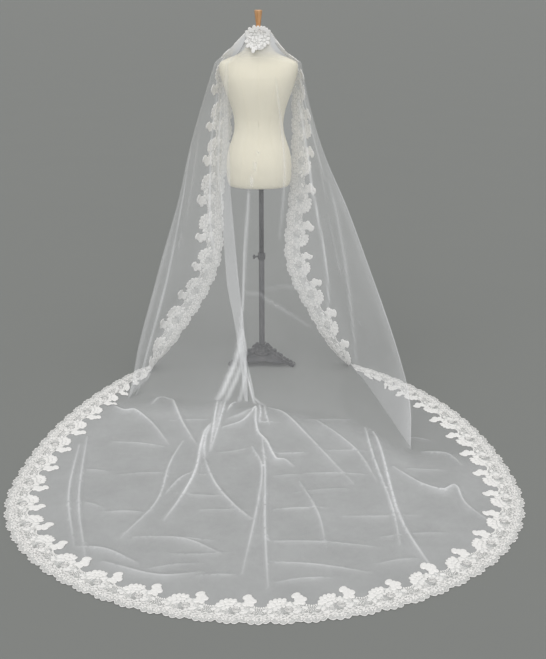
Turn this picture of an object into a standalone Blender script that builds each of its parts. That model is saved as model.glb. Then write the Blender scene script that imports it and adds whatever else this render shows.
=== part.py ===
"""A cathedral mantilla bridal veil on a limbless dress form with a cast tripod stand.

The veil is one oval sheet of soft tulle with a deep scalloped lace border. It hangs from the
neck and shoulders of the form, lands on the floor behind it and spreads into a long train.
Units are metres, +Z is up, the form faces +Y and the train lies towards -Y. While the pieces
are worked out the pole stands at x = POLE_X, y = 0. At the end everything is moved so that
the origin is the middle of the whole object's footprint, on the floor.
"""

import math
from collections import namedtuple

import bmesh
import bpy
import numpy as np
from mathutils import Vector
from mathutils.geometry import delaunay_2d_cdt

# Cloth
SEAM_GAP = 0.0003
LACE_GAP = 0.0005
CLOTH_HALF = 0.0010
LACE_RELIEF = 0.0012
LACE_BAND = 0.100
LACE_REPEAT = 0.176
STATIONS_PER_REPEAT = 6
SCALLOPS_PER_REPEAT = 2
SCALLOP_DEPTH = 0.012
LACE_ROWS = (0.0, 0.35, 0.68)
GAP_STATIONS = (1, 4)
GAP_INSET = 0.22
INSIDE_HANGING = (0.0, 0.05, 0.9)
UNDER_TRAIN = (0.0, -1.2, -2.0)
# The hanging sheet's foot stands on the train's edge, which reaches a little way in under it
FOOT_REST = 2.0 * CLOTH_HALF + SEAM_GAP
FOOT_OVERLAP = 0.005
FLAT_BEYOND_FOOT = 0.007
FOOT_CENTRE = (0.10, -0.20)

# Heights of the levels at which the table of folds gives the sheet's plan
NECK_Z = 1.600
LEVEL_Z = {"shoulder": 1.470, "waist": 1.150, "hip": 0.850, "knee": 0.500, "ankle": 0.200}
LEVELS = ("neck", "ridge", "shoulder", "waist", "hip", "knee", "ankle", "floor")
ROWS_BETWEEN_LEVELS = (2, 2, 3, 3, 3, 3, 4)
FLOOR_EASE = 1.5
# Width of the lace along a level section: it grows where the free edge runs aslant
BAND_AT_LEVEL = (0.020, 0.030, 0.072, 0.100, 0.100, 0.112, 0.150, 0.105)
# The pleat: how far it doubles back and how far apart its layers lie. Round the neck it stands
# out by both layers, down to the level parameter PLEAT_ON_NECK.
PLEAT_WIDTH = (0.006, 0.013, 0.016, 0.029, 0.033, 0.040, 0.022, 0.014)
PLEAT_DEPTH = (0.0045, 0.006, 0.010, 0.010, 0.010, 0.010, 0.010, 0.010)
PLEAT_ON_NECK = 1.5
AFTER_PLEAT_SPAN = 3
BAND_MOST_SHARE = 0.9
BEND_REACH = 0.30

# Train border on the floor: two half ellipses, front and back
EGG_X = 0.018
EGG_Y = -1.287
EGG_HALF_WIDTH = 0.977
EGG_FRONT = 0.837
EGG_BACK = 1.522
EGG_START = 126.9
EGG_END = 415.7
EGG_BLEND = 0.35
CORNER_BLEND = 0.12
SLOPE_STEP = 0.01
MERGE_WITHIN = 1e-7
BORDER_SAMPLES = 720
BORDER_SPLIT = 0.49
CREST_STEP = 0.070
CREST_SIDES = (0.0, 1.7, -1.7)
PLAIN_STEP = 0.150
LEAST_SPACING = 0.026
CREST_FADE = 0.060
CREST_START = 0.12
CREST_SKEW = 0.8
LAID_BELOW = 1.01 * CLOTH_HALF

# Dress form and stand
FORM_X = -0.018
POLE_X = -0.008
NECK_RADIUS = 0.0550
NECK_CLEAR = 0.0008
FORM_BOTTOM = 0.905
FORM_POWER = 2.2
FORM_SIDES = 24
NECK_TOP = 1.6120
POLE_LOW_RADIUS = 0.0140
POLE_TOP_RADIUS = 0.0115
POLE_JOIN_Z = 0.540
COLLAR_HEIGHT = 0.034
COLLAR_RADIUS = 0.0190
COLLAR_ROUNDING = 0.0030
COLLAR_PLAY = 0.0020
SCREW_RADIUS = 0.0045
SCREW_LENGTH = 0.026
HUB_TOP = 0.130
LEG_REACH = 0.178
LEG_ANGLES = (203.0, 337.0, 90.0)
ROUND_SIDES = 16
SCREW_ANGLE = 200.0
NECK_ROUND_FROM = 1.54

# One row for each fold line of the hanging sheet, from the left free edge round the back to
# the right free edge. soft is how far the bend reaches along the sheet, bend and span are
# the steps in the bend and in the stretch after it. neck is the angle round the neck, ridge
# is a point on the line from neck to shoulder, and the rest are plan points at the levels.
Fold = namedtuple("Fold", "name soft bend span neck ridge shoulder waist hip knee ankle floor")
FOLDS = (
    Fold("left_edge", 0.000, 0, 4, 150, (-0.112, 0.045, 1.537), (-0.160, 0.105), (-0.145, 0.120),
         (-0.187, 0.110), (-0.211, 0.070), (-0.374, 0.000), (-0.597, -0.070)),
    Fold("left_front", 0.035, 2, 2, 165, (-0.136, 0.022, 1.537), (-0.214, 0.037), (-0.262, 0.070),
         (-0.300, 0.060), (-0.345, 0.000), (-0.515, -0.060), (-0.552, -0.215)),
    Fold("left_fold", 0.022, 3, 1, 180, (-0.143, 0.000, 1.537), (-0.217, 0.000), (-0.325, -0.060),
         (-0.402, -0.150), (-0.507, -0.290), (-0.585, -0.400), (-0.632, -0.473)),
    Fold("left_soft", 0.025, 2, 3, 205, (-0.128, -0.035, 1.535), (-0.213, -0.066), (-0.309, -0.100),
         (-0.360, -0.190), (-0.412, -0.300), (-0.497, -0.375), (-0.572, -0.405)),
    Fold("pleat", 0.0032, 1, 1, 226, (-0.094, -0.066, 1.532), (-0.156, -0.096), (-0.153, -0.160),
         (-0.142, -0.205), (-0.106, -0.325), (-0.072, -0.430), (-0.068, -0.505)),
    Fold("centre", 0.040, 2, 3, 265, (-0.016, -0.082, 1.530), (-0.018, -0.094), (-0.018, -0.130),
         (-0.028, -0.178), (-0.046, -0.300), (-0.036, -0.412), (-0.020, -0.522)),
    Fold("right_line", 0.030, 2, 2, 310, (0.072, -0.052, 1.525), (0.140, -0.058), (0.197, -0.130),
         (0.236, -0.240), (0.287, -0.400), (0.346, -0.550), (0.368, -0.650)),
    Fold("right_fold", 0.030, 3, 3, 345, (0.104, 0.000, 1.517), (0.174, 0.000), (0.264, -0.100),
         (0.398, -0.280), (0.533, -0.560), (0.627, -0.820), (0.625, -0.990)),
    Fold("right_front", 0.035, 2, 3, 368, (0.098, 0.022, 1.520), (0.176, 0.037), (0.222, 0.050),
         (0.258, 0.020), (0.330, -0.020), (0.425, -0.090), (0.492, -0.255)),
    Fold("right_edge", 0.000, 0, 0, 383, (0.076, 0.045, 1.528), (0.128, 0.105), (0.133, 0.120),
         (0.122, 0.110), (0.107, 0.080), (0.253, 0.030), (0.438, -0.030)),
)

# Large folds that stand up from the train: name, height, half width, plan points of the crest
Ridge = namedtuple("Ridge", "name height half_width crest")
RIDGES = (
    Ridge("left_leg", 0.030, 0.030, ((-0.085, -0.500), (-0.205, -0.700), (-0.240, -1.010), (-0.345, -1.610))),
    Ridge("right_leg", 0.020, 0.026, ((-0.040, -0.530), (-0.010, -0.700))),
    Ridge("arch", 0.026, 0.026, ((-0.180, -0.700), (-0.030, -0.575), (-0.005, -0.850), (0.110, -1.105))),
    Ridge("slant", 0.018, 0.024, ((0.030, -0.565), (0.190, -0.835), (0.360, -1.260))),
    Ridge("right_double", 0.024, 0.030, ((0.460, -0.640), (0.490, -0.980), (0.510, -1.520), (0.580, -1.850))),
    Ridge("middle", 0.020, 0.026, ((0.000, -0.950), (0.020, -1.200), (0.030, -1.900))),
    Ridge("left_bow", 0.022, 0.028, ((-0.730, -0.530), (-0.600, -0.610), (-0.470, -0.740), (-0.380, -0.920))),
    Ridge("left_inner", 0.020, 0.026, ((-0.430, -0.480), (-0.340, -0.740), (-0.250, -0.990))),
    Ridge("left_double", 0.020, 0.028, ((-0.790, -0.960), (-0.720, -1.350), (-0.600, -1.760))),
    Ridge("left_slant", 0.018, 0.026, ((-0.310, -0.900), (-0.365, -1.150), (-0.440, -1.580))),
    Ridge("front_left", 0.018, 0.028, ((-0.240, -1.020), (-0.160, -1.290), (-0.020, -1.530))),
    Ridge("right_bow", 0.022, 0.028, ((0.530, -1.130), (0.690, -1.320), (0.760, -1.400), (0.850, -1.580))),
)

# Torso of the form: height, half width, reach to the back, reach to the front
Ring = namedtuple("Ring", "z half back front")
TORSO = (
    Ring(0.905, 0.1300, 0.092, 0.082), Ring(0.912, 0.1430, 0.104, 0.092), Ring(0.941, 0.1510, 0.111, 0.098),
    Ring(0.985, 0.1530, 0.113, 0.101), Ring(1.027, 0.1510, 0.110, 0.101), Ring(1.074, 0.1430, 0.100, 0.096),
    Ring(1.120, 0.1270, 0.088, 0.090), Ring(1.165, 0.1150, 0.080, 0.087), Ring(1.213, 0.1140, 0.078, 0.087),
    Ring(1.260, 0.1230, 0.084, 0.097), Ring(1.313, 0.1410, 0.092, 0.117), Ring(1.360, 0.1580, 0.096, 0.124),
    Ring(1.405, 0.1720, 0.094, 0.112), Ring(1.440, 0.1800, 0.085, 0.092), Ring(1.462, 0.1790, 0.077, 0.078),
    Ring(1.476, 0.1680, 0.072, 0.069), Ring(1.490, 0.1380, 0.068, 0.064), Ring(1.506, 0.0980, 0.064, 0.060),
    Ring(1.522, 0.0720, 0.060, 0.057), Ring(1.545, 0.0580, 0.0565, 0.0560), Ring(1.566, 0.0550, 0.0550, 0.0550),
    Ring(1.606, 0.0550, 0.0550, 0.0550), Ring(NECK_TOP, 0.0500, 0.0500, 0.0500),
)

# Turned profiles, outer side from top to bottom: radius and height
KNOB_PROFILE = ((0.0150, 1.7000), (0.0175, 1.6975), (0.0175, 1.6920), (0.0150, 1.6710), (0.0120, 1.6480),
                (0.0102, 1.6335), (0.0104, 1.6312), (0.0133, 1.6300), (0.0133, 1.6272), (0.0150, 1.6256),
                (0.0430, 1.6250), (0.0450, 1.6190), (0.0440, 1.6123))
HUB_PROFILE = ((0.0180, 0.1300), (0.0230, 0.1270), (0.0230, 0.1190), (0.0190, 0.1150), (0.0270, 0.1050),
               (0.0400, 0.0920), (0.0480, 0.0780), (0.0460, 0.0620), (0.0320, 0.0540), (0.0150, 0.0500))
# One leg: distance from the pole, height of its underside, depth, half width
LegRing = namedtuple("LegRing", "reach low deep half")
LEG = (
    LegRing(0.020, 0.060, 0.034, 0.011), LegRing(0.050, 0.052, 0.036, 0.012), LegRing(0.080, 0.034, 0.034, 0.011),
    LegRing(0.110, 0.020, 0.028, 0.010), LegRing(0.138, 0.009, 0.024, 0.011), LegRing(0.160, 0.000, 0.026, 0.014),
    LegRing(LEG_REACH, 0.000, 0.016, 0.011),
)

# Outline of a leg's section: share of the half width, share of the depth
LEG_SECTION = ((-0.7, 0.0), (0.7, 0.0), (1.0, 0.35), (0.6, 0.85), (0.0, 1.0), (-0.6, 0.85), (-1.0, 0.35))
# The thumb screw: share of its length, then width and height in stem radii
ScrewRing = namedtuple("ScrewRing", "reach wide tall")
SCREW = (
    ScrewRing(0.0, 1.0, 1.0), ScrewRing(0.45, 1.0, 1.0), ScrewRing(0.55, 1.0, 2.3), ScrewRing(0.95, 0.8, 2.8),
    ScrewRing(1.0, 0.5, 2.2),
)
SCREW_SIDES = 8

# Flower cluster sewn on at the back of the neck: centre, half sizes, lobes, and how it bends
# round the neck and leans out over the sheet below
CLUSTER_CENTRE = (-0.022, 1.580)
CLUSTER_RADIUS = 0.0622
CLUSTER_LEAN = 0.38
CLUSTER_TOP = 0.010
CLUSTER_CURVE = 0.130
CLUSTER_SIZE = (0.058, 0.054)
CLUSTER_SIDES = 36
CLUSTER_LOBES = 8
CLUSTER_LOBE_DEPTH = 0.10
CLUSTER_RINGS = (0.25, 0.55, 0.80, 1.0)
CLUSTER_EDGE = 0.9
CLUSTER_RELIEF = 1.5 * LACE_RELIEF
CLUSTER_EDGE_RELIEF = 0.3 * LACE_RELIEF


def material(name, color, roughness, metallic=0.0, alpha=1.0):
    """Plain Principled material for one piece."""
    made = bpy.data.materials.new(name)
    made.use_nodes = True
    shader = made.node_tree.nodes["Principled BSDF"]
    shader.inputs["Base Color"].default_value = (*color, 1.0)
    shader.inputs["Roughness"].default_value = roughness
    shader.inputs["Metallic"].default_value = metallic
    shader.inputs["Alpha"].default_value = alpha
    return made


def add_object(name, mesh, finish):
    """Link a finished mesh as the node of that name."""
    made = bpy.data.objects.new(name, mesh)
    bpy.context.scene.collection.objects.link(made)
    mesh.materials.append(finish)
    return made


def spline(points, t):
    """Point at parameter t on a Catmull-Rom curve through the points, one unit apart."""
    pts = [np.asarray(p, float) for p in points]
    last = len(pts) - 1
    k = min(int(t), last - 1)
    f = t - k
    before = pts[k - 1] if k > 0 else 2.0 * pts[0] - pts[1]
    after = pts[k + 2] if k + 2 <= last else 2.0 * pts[last] - pts[last - 1]
    a, b = pts[k], pts[k + 1]
    slope_a = (b - before) / 2.0
    slope_b = (after - a) / 2.0
    f2 = f * f
    f3 = f2 * f
    return ((2 * f3 - 3 * f2 + 1) * a + (f3 - 2 * f2 + f) * slope_a
            + (3 * f2 - 2 * f3) * b + (f3 - f2) * slope_b)


def unit(vector):
    """Vector of length one in the same direction."""
    length = float(np.linalg.norm(vector))
    return vector / length if length > 0.0 else vector


def neck_point(angle):
    """Point of the sheet where it is wrapped round the neck."""
    radius = NECK_RADIUS + NECK_CLEAR + CLOTH_HALF
    turn = math.radians(angle)
    return np.array((FORM_X + radius * math.cos(turn), radius * math.sin(turn), NECK_Z))


def fold_levels(fold):
    """The eight points of one fold line, from neck to floor."""
    points = [neck_point(fold.neck), np.array(fold.ridge)]
    for level in LEVELS[2:7]:
        x, y = getattr(fold, level)
        points.append(np.array((x, y, LEVEL_Z[level])))
    points.append(np.array((*fold.floor, 0.0)))
    return points


FOLD_LINES = {fold.name: fold_levels(fold) for fold in FOLDS}


def fold_point(name, t):
    """Point on a fold line at level parameter t, with its foot eased on to the floor."""
    point = spline(FOLD_LINES[name], t)
    last = len(LEVELS) - 1
    if t > last - 1:
        point[2] = LEVEL_Z["ankle"] * (last - t) ** FLOOR_EASE
    point[2] += CLOTH_HALF
    return point


def level_value(values, t):
    """Straight interpolation of one value given at each level."""
    k = min(int(t), len(values) - 2)
    return values[k] + (values[k + 1] - values[k]) * (t - k)


def corners(t):
    """Corner points of the section at t, with the pleat opened into its four bends."""
    found = []
    for fold in FOLDS:
        point = fold_point(fold.name, t)
        if fold.name != "pleat":
            found.append((fold, point))
            continue
        along = unit((point - found[-1][1])[:2])
        away = np.array((-along[1], along[0], 0.0))
        along = np.array((along[0], along[1], 0.0))
        depth = level_value(PLEAT_DEPTH, t)
        point = point - away * 2.0 * depth * max(0.0, 1.0 - t / PLEAT_ON_NECK)
        back = point + away * depth
        inner = back - along * level_value(PLEAT_WIDTH, t)
        under = inner + away * depth
        doubled = fold._replace(name="pleat_back")
        last = doubled._replace(span=AFTER_PLEAT_SPAN)
        found.extend(((fold, point), (doubled, back), (doubled, inner), (last, under)))
    return found


def section(t):
    """Points of the sheet at t from lace to lace, and for each whether it reaches the floor.

    The doubled back of the pleat doesn't run on into the train.
    """
    chain = corners(t)
    band = level_value(BAND_AT_LEVEL, t)
    places = [p for _, p in chain]
    for end, nxt in ((0, 1), (-1, -2)):
        gap = np.linalg.norm(places[nxt] - places[end])
        places[end] = places[end] + (places[nxt] - places[end]) * min(band / gap, BAND_MOST_SHARE)
    points, lands = [places[0]], [True]
    for k in range(1, len(chain)):
        fold = chain[k][0]
        behind = chain[k - 1][0].name == "pleat_back"
        inward = places[k - 1] - places[k]
        reach_in = min(fold.soft, BEND_REACH * np.linalg.norm(inward))
        start = places[k] + unit(inward) * reach_in
        steps = chain[k - 1][0].span
        first = points[-1]
        for j in range(1, steps + 1):
            points.append(first + (start - first) * j / steps)
            lands.append(fold.name != "pleat_back" and not (behind and j == 1))
        if fold.bend == 0:
            continue
        outward = places[k + 1] - places[k]
        reach_out = min(fold.soft, BEND_REACH * np.linalg.norm(outward))
        end = places[k] + unit(outward) * reach_out
        for j in range(1, fold.bend + 1):
            f = j / fold.bend
            points.append((1 - f) ** 2 * start + 2 * f * (1 - f) * places[k] + f * f * end)
            lands.append(not fold.name.startswith("pleat"))
    return [off_the_neck(p) for p in points], lands


def off_the_neck(point):
    """Push a point of the sheet out until it clears the neck."""
    if point[2] < NECK_ROUND_FROM:
        return point
    away = point[:2] - np.array((FORM_X, 0.0))
    least = NECK_RADIUS + NECK_CLEAR + CLOTH_HALF
    if np.linalg.norm(away) >= least:
        return point
    x, y = np.array((FORM_X, 0.0)) + unit(away) * least
    return np.array((x, y, point[2]))


def free_edge(t, left):
    """Outermost point of the lace at t."""
    return fold_point("left_edge" if left else "right_edge", t)


def border_curve():
    """Plan points along the train's border and the length along it, left to right."""
    angles = np.radians(np.linspace(EGG_START, EGG_END, BORDER_SAMPLES))
    deep = np.where(np.sin(angles) > 0.0, EGG_BACK, EGG_FRONT)
    points = np.stack((EGG_X + EGG_HALF_WIDTH * np.cos(angles), EGG_Y + deep * np.sin(angles)), axis=1)
    steps = np.linalg.norm(np.diff(points, axis=0), axis=1)
    length = np.concatenate(((0.0,), np.cumsum(steps)))
    left = np.array(FOLDS[0].floor) - points[0]
    right = np.array(FOLDS[-1].floor) - points[-1]
    near_left = np.exp(-length / EGG_BLEND)[:, None]
    near_right = np.exp(-(length[-1] - length) / EGG_BLEND)[:, None]
    points = points + left * near_left + right * near_right
    steps = np.linalg.norm(np.diff(points, axis=0), axis=1)
    return points, np.concatenate(((0.0,), np.cumsum(steps)))


BORDER_POINTS, BORDER_LENGTH = border_curve()


def border_at(share):
    """Plan point on the border at a share of its length, and the direction into the train."""
    total = BORDER_LENGTH[-1]
    along = share * total

    def sample(s):
        return np.array([np.interp(s, BORDER_LENGTH, BORDER_POINTS[:, k]) for k in (0, 1)])

    here = sample(along)
    ahead = unit(sample(min(along + SLOPE_STEP, total)) - sample(max(along - SLOPE_STEP, 0.0)))
    inward = np.array((-ahead[1], ahead[0]))
    last = len(LEVELS) - 1
    for near, left in ((along, True), (total - along, False)):
        edge = free_edge(last, left)[:2]
        inner = section(last)[0][0 if left else -1][:2]
        share_near = math.exp(-(near / CORNER_BLEND) ** 2)
        inward = inward * (1.0 - share_near) + unit(inner - edge) * share_near
    return here, unit(inward)


def crest_height(x, y):
    """Height of the train's folds at a plan point."""
    total = 0.0
    here = np.array((x, y))
    for ridge in RIDGES:
        best, place = 1e9, 0.0
        crest = [np.array(p) for p in ridge.crest]
        spans = len(crest) - 1
        for k in range(spans):
            run = crest[k + 1] - crest[k]
            f = float(np.clip(np.dot(here - crest[k], run) / np.dot(run, run), 0.0, 1.0))
            away = float(np.linalg.norm(here - crest[k] - run * f))
            if away < best:
                best, place = away, (k + f) / spans
        along = min(1.0, CREST_START + (1.0 - CREST_START) * place)
        taper = max(math.sin(math.pi * along ** CREST_SKEW), 0.0)
        total = max(total, ridge.height * taper * math.exp(-(best / ridge.half_width) ** 2))
    return total


def zip_lines(first, second, share_a, share_b):
    """Triangles between two lines of vertex indices that run side by side."""
    faces = []
    i, j = 0, 0
    while i < len(first) - 1 or j < len(second) - 1:
        step_first = j == len(second) - 1 or (i < len(first) - 1 and share_a[i + 1] <= share_b[j + 1])
        if step_first:
            faces.append((first[i], first[i + 1], second[j]))
            i += 1
        else:
            faces.append((first[i], second[j + 1], second[j]))
            j += 1
    return faces


def quads(first, second):
    """Quads between two lines with the same number of vertices."""
    return [(first[k], first[k + 1], second[k + 1], second[k]) for k in range(len(first) - 1)]


def make_wall(name, points, faces, inside, finish, upright=(), standing=(), relief=None):
    """Closed wall of even thickness round a middle surface.

    Its outer side, away from the point inside, is raised by relief. The wall's end stands
    upright at the points named in upright, so that the next piece can lie against it. The
    points named in standing are set to rest on the sheet that lies on the floor.
    """
    sheet = bmesh.new()
    verts = [sheet.verts.new(tuple(p)) for p in points]
    for face in faces:
        sheet.faces.new([verts[k] for k in face])
    bmesh.ops.recalc_face_normals(sheet, faces=sheet.faces)
    sheet.normal_update()
    facing = sum(f.normal.dot(f.calc_center_median() - Vector(inside)) * f.calc_area() for f in sheet.faces)
    if facing < 0.0:
        bmesh.ops.reverse_faces(sheet, faces=sheet.faces)
        sheet.normal_update()
    sheet.verts.index_update()
    count = len(verts)
    out, inner = [], []
    for k, vert in enumerate(verts):
        normal = Vector((0.0, 0.0, 1.0)) if k in upright else vert.normal.copy()
        rise = CLOTH_HALF + (relief[k] if relief is not None else 0.0)
        outer_point = vert.co + normal * rise
        inner_point = vert.co - normal * CLOTH_HALF
        if k in standing:
            lift = Vector((0.0, 0.0, FOOT_REST - min(outer_point.z, inner_point.z)))
            outer_point += lift
            inner_point += lift
        out.append(outer_point)
        inner.append(inner_point)
    body = bmesh.new()
    shell = [body.verts.new(p) for p in out + inner]
    for face in sheet.faces:
        ids = [v.index for v in face.verts]
        body.faces.new([shell[k] for k in ids])
        body.faces.new([shell[k + count] for k in reversed(ids)])
    for edge in sheet.edges:
        if len(edge.link_loops) == 1:
            loop = edge.link_loops[0]
            a, b = loop.vert.index, loop.link_loop_next.vert.index
            body.faces.new([shell[b], shell[a], shell[a + count], shell[b + count]])
    sheet.free()
    bmesh.ops.triangulate(body, faces=body.faces)
    mesh = bpy.data.meshes.new(name)
    body.to_mesh(mesh)
    body.free()
    return add_object(name, mesh, finish)


def row_parameters():
    """Level parameters of the sheet's rows, neck to floor."""
    values = [0.0]
    for k, count in enumerate(ROWS_BETWEEN_LEVELS):
        values.extend(k + j / count for j in range(1, count + 1))
    return values


def hang_tulle(finish):
    """The sheet from the neck and shoulders down to the floor, in three stretches."""
    grid = [section(t)[0] for t in row_parameters()]
    columns = len(grid[0])
    pleat = next(k for k, f in enumerate(FOLDS) if f.name == "pleat")
    counts = [f.span + f.bend for f in FOLDS]
    # The cuts lie in plain stretches: before the pleat, and before the last fold lines
    left_cut = sum(counts[:pleat]) - 2
    right_cut = columns - sum(counts[-4:]) + 1
    spans = (("tulle_left_fall", 0, left_cut), ("tulle_back_fall", left_cut, right_cut),
             ("tulle_right_fall", right_cut, columns - 1))
    for name, first, last in spans:
        width = last - first + 1
        points = []
        for row in grid:
            line = [p.copy() for p in row[first:last + 1]]
            if first > 0:
                line[0] = line[0] + unit(line[1] - line[0]) * LACE_GAP
            points.extend(line)
        lines = [list(range(r * width, (r + 1) * width)) for r in range(len(grid))]
        faces = []
        for a, b in zip(lines[:-1], lines[1:]):
            faces.extend(quads(a, b))
        make_wall(name, points, faces, INSIDE_HANGING, finish, standing=lines[-1])


def under_foot(point, step=FOOT_OVERLAP):
    """Plan point moved a little way in under the foot of the hanging sheet."""
    return point + unit(np.array(FOOT_CENTRE) - point) * step


def landing_line(step):
    """Plan points along the foot of the hanging sheet, left to right, moved in by step."""
    points, lands = section(len(LEVELS) - 1)
    return [under_foot(p[:2], step) for p, here in zip(points, lands) if here]


def border_half(left):
    """Ends of one half of the border, as shares of its length, and the lace stations on it."""
    low, high = (0.0, BORDER_SPLIT) if left else (BORDER_SPLIT, 1.0)
    pairs = round((high - low) * BORDER_LENGTH[-1] / LACE_REPEAT * STATIONS_PER_REPEAT / 2.0)
    return low, high, 2 * pairs


def seam_shares(left):
    """Border shares of the points where the train's sheet meets its lace, in one half."""
    low, high, stations = border_half(left)
    return [low + (high - low) * k / stations for k in range(0, stations + 1, 2)]


def nearest_on(line, point):
    """Distance from a plan point to a closed line."""
    starts = np.array(line)
    runs = np.roll(starts, -1, axis=0) - starts
    share = np.einsum("ij,ij->i", point - starts, runs) / np.maximum(np.einsum("ij,ij->i", runs, runs), 1e-12)
    places = starts + runs * np.clip(share, 0.0, 1.0)[:, None]
    return float(np.linalg.norm(places - point, axis=1).min())


def lies_within(line, point):
    """Whether a plan point lies inside a closed line."""
    inside = False
    for a, b in zip(line, line[1:] + line[:1]):
        if (a[1] > point[1]) != (b[1] > point[1]):
            if point[0] < a[0] + (b[0] - a[0]) * (point[1] - a[1]) / (b[1] - a[1]):
                inside = not inside
    return inside


def crest_places():
    """Plan points on the crests of the train's folds, then beside them, then between them."""
    places = []
    for side in CREST_SIDES:
        for ridge in RIDGES:
            crest = [np.array(p) for p in ridge.crest]
            for a, b in zip(crest[:-1], crest[1:]):
                run = unit(b - a)
                across = np.array((-run[1], run[0])) * side * ridge.half_width
                steps = max(1, round(float(np.linalg.norm(b - a)) / CREST_STEP))
                places.extend(a + (b - a) * j / steps + across for j in range(steps + 1))
    low, high = BORDER_POINTS.min(axis=0), BORDER_POINTS.max(axis=0)
    for x in np.arange(low[0], high[0], PLAIN_STEP):
        places.extend(np.array((x, y)) for y in np.arange(low[1], high[1], PLAIN_STEP))
    return places


def lay_train(finish):
    """The sheet on the floor, from the landing line to the lace.

    It is flat out to a line just past the foot of the hanging sheet.
    """
    outline = landing_line(FOOT_OVERLAP)
    for share in reversed(seam_shares(True)[1:] + seam_shares(False)[1:-1]):
        edge, inward = border_at(share)
        outline.append(edge + inward * LACE_BAND)
    apron = [p for p in landing_line(-FLAT_BEYOND_FOOT)
             if lies_within(outline, p) and nearest_on(outline, p) > FLAT_BEYOND_FOOT]
    chosen = list(apron)
    for place in crest_places():
        apart = min((np.linalg.norm(place - other) for other in chosen), default=1.0)
        if apart > LEAST_SPACING and lies_within(outline, place) and nearest_on(outline, place) > LEAST_SPACING:
            chosen.append(place)
    flat = [Vector(p) for p in outline[::-1] + chosen]
    edge_count = len(outline)
    kept_flat = range(edge_count, edge_count + len(apron))
    guard = [(k, k + 1) for k in kept_flat[:-1]]
    verts, _, faces, _, _, _ = delaunay_2d_cdt(flat, guard, [list(range(edge_count))], 1, MERGE_WITHIN)
    points = []
    for k, (x, y) in enumerate(verts):
        fade = min(1.0, nearest_on(outline, np.array((x, y))) / CREST_FADE)
        rise = 0.0 if k in kept_flat else crest_height(x, y) * fade
        points.append((x, y, CLOTH_HALF + rise))
    make_wall("tulle_train", points, faces, UNDER_TRAIN, finish, upright=range(edge_count))


def scallop(station):
    """How far the outer edge is drawn in at a station along the lace."""
    phase = station * SCALLOPS_PER_REPEAT / STATIONS_PER_REPEAT
    return SCALLOP_DEPTH * (1.0 - abs(math.sin(math.pi * phase)))


def lace_strip(name, stations, place, inner_line, inner_shares, hangs, finish):
    """Scalloped lace band: fine lines near its free edge, joined to the sheet's own points."""
    points, relief, lines = [], [], []
    for row in LACE_ROWS:
        line = []
        for k in range(stations + 1):
            share = k / stations
            drawn = scallop(k) / LACE_BAND if row == 0.0 else 0.0
            line.append(len(points))
            points.append(place(share, row + drawn))
            relief.append(LACE_RELIEF if row > 0.0 and k % 3 != 0 and 1 < k < stations - 1 else 0.0)
        lines.append(line)
    faces = quads(lines[0], lines[1])
    for k, quad in enumerate(quads(lines[1], lines[2])):
        if k % STATIONS_PER_REPEAT not in GAP_STATIONS:
            faces.append(quad)
            continue
        middle = sum(np.asarray(points[v]) for v in quad) / 4.0
        ring = []
        for v in quad:
            ring.append(len(points))
            points.append(middle + (np.asarray(points[v]) - middle) * (1.0 - 2.0 * GAP_INSET))
            relief.append(LACE_RELIEF)
        for a in range(4):
            b = (a + 1) % 4
            faces.append((quad[a], quad[b], ring[b], ring[a]))
    inner = []
    for point in inner_line:
        inner.append(len(points))
        points.append(point)
        relief.append(0.0)
    fine = [k / stations for k in range(stations + 1)]
    faces.extend(zip_lines(lines[2], inner, fine, inner_shares))
    level = {k for k, p in enumerate(points) if p[2] < LAID_BELOW}
    if hangs:
        make_wall(name, points, faces, INSIDE_HANGING, finish, standing=level, relief=relief)
    else:
        make_wall(name, points, faces, UNDER_TRAIN, finish, upright=level, relief=relief)


def edge_length(left):
    """Length of the hanging free edge from neck to floor, and a table to walk it evenly."""
    samples = np.linspace(0.0, len(LEVELS) - 1.0, 200)
    line = [free_edge(t, left) for t in samples]
    steps = [float(np.linalg.norm(b - a)) for a, b in zip(line[:-1], line[1:])]
    return samples, np.concatenate(((0.0,), np.cumsum(steps)))


def hang_lace(finish):
    """Lace down the two free edges, from the neck to the floor."""
    rows = row_parameters()
    for left, name in ((True, "lace_left_fall"), (False, "lace_right_fall")):
        samples, walked = edge_length(left)
        stations = round(walked[-1] / LACE_REPEAT * STATIONS_PER_REPEAT)
        side = 0 if left else -1
        sections = [section(t)[0][side] for t in rows]

        def place(share, part, left=left, samples=samples, walked=walked, sections=sections):
            t = float(np.interp(share * walked[-1], walked, samples))
            k = min(int(np.searchsorted(rows, t, side="right")) - 1, len(rows) - 2)
            f = (t - rows[k]) / (rows[k + 1] - rows[k])
            edge = free_edge(t, left)
            inner = sections[k] + (sections[k + 1] - sections[k]) * f
            return edge + (inner - edge) * part

        inner_line = []
        for t, point in zip(rows, sections):
            edge = free_edge(t, left)
            inner_line.append(point + unit(edge - point) * LACE_GAP)
        shares = [float(np.interp(t, samples, walked)) / walked[-1] for t in rows]
        lace_strip(name, stations, place, inner_line, shares, True, finish)


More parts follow.
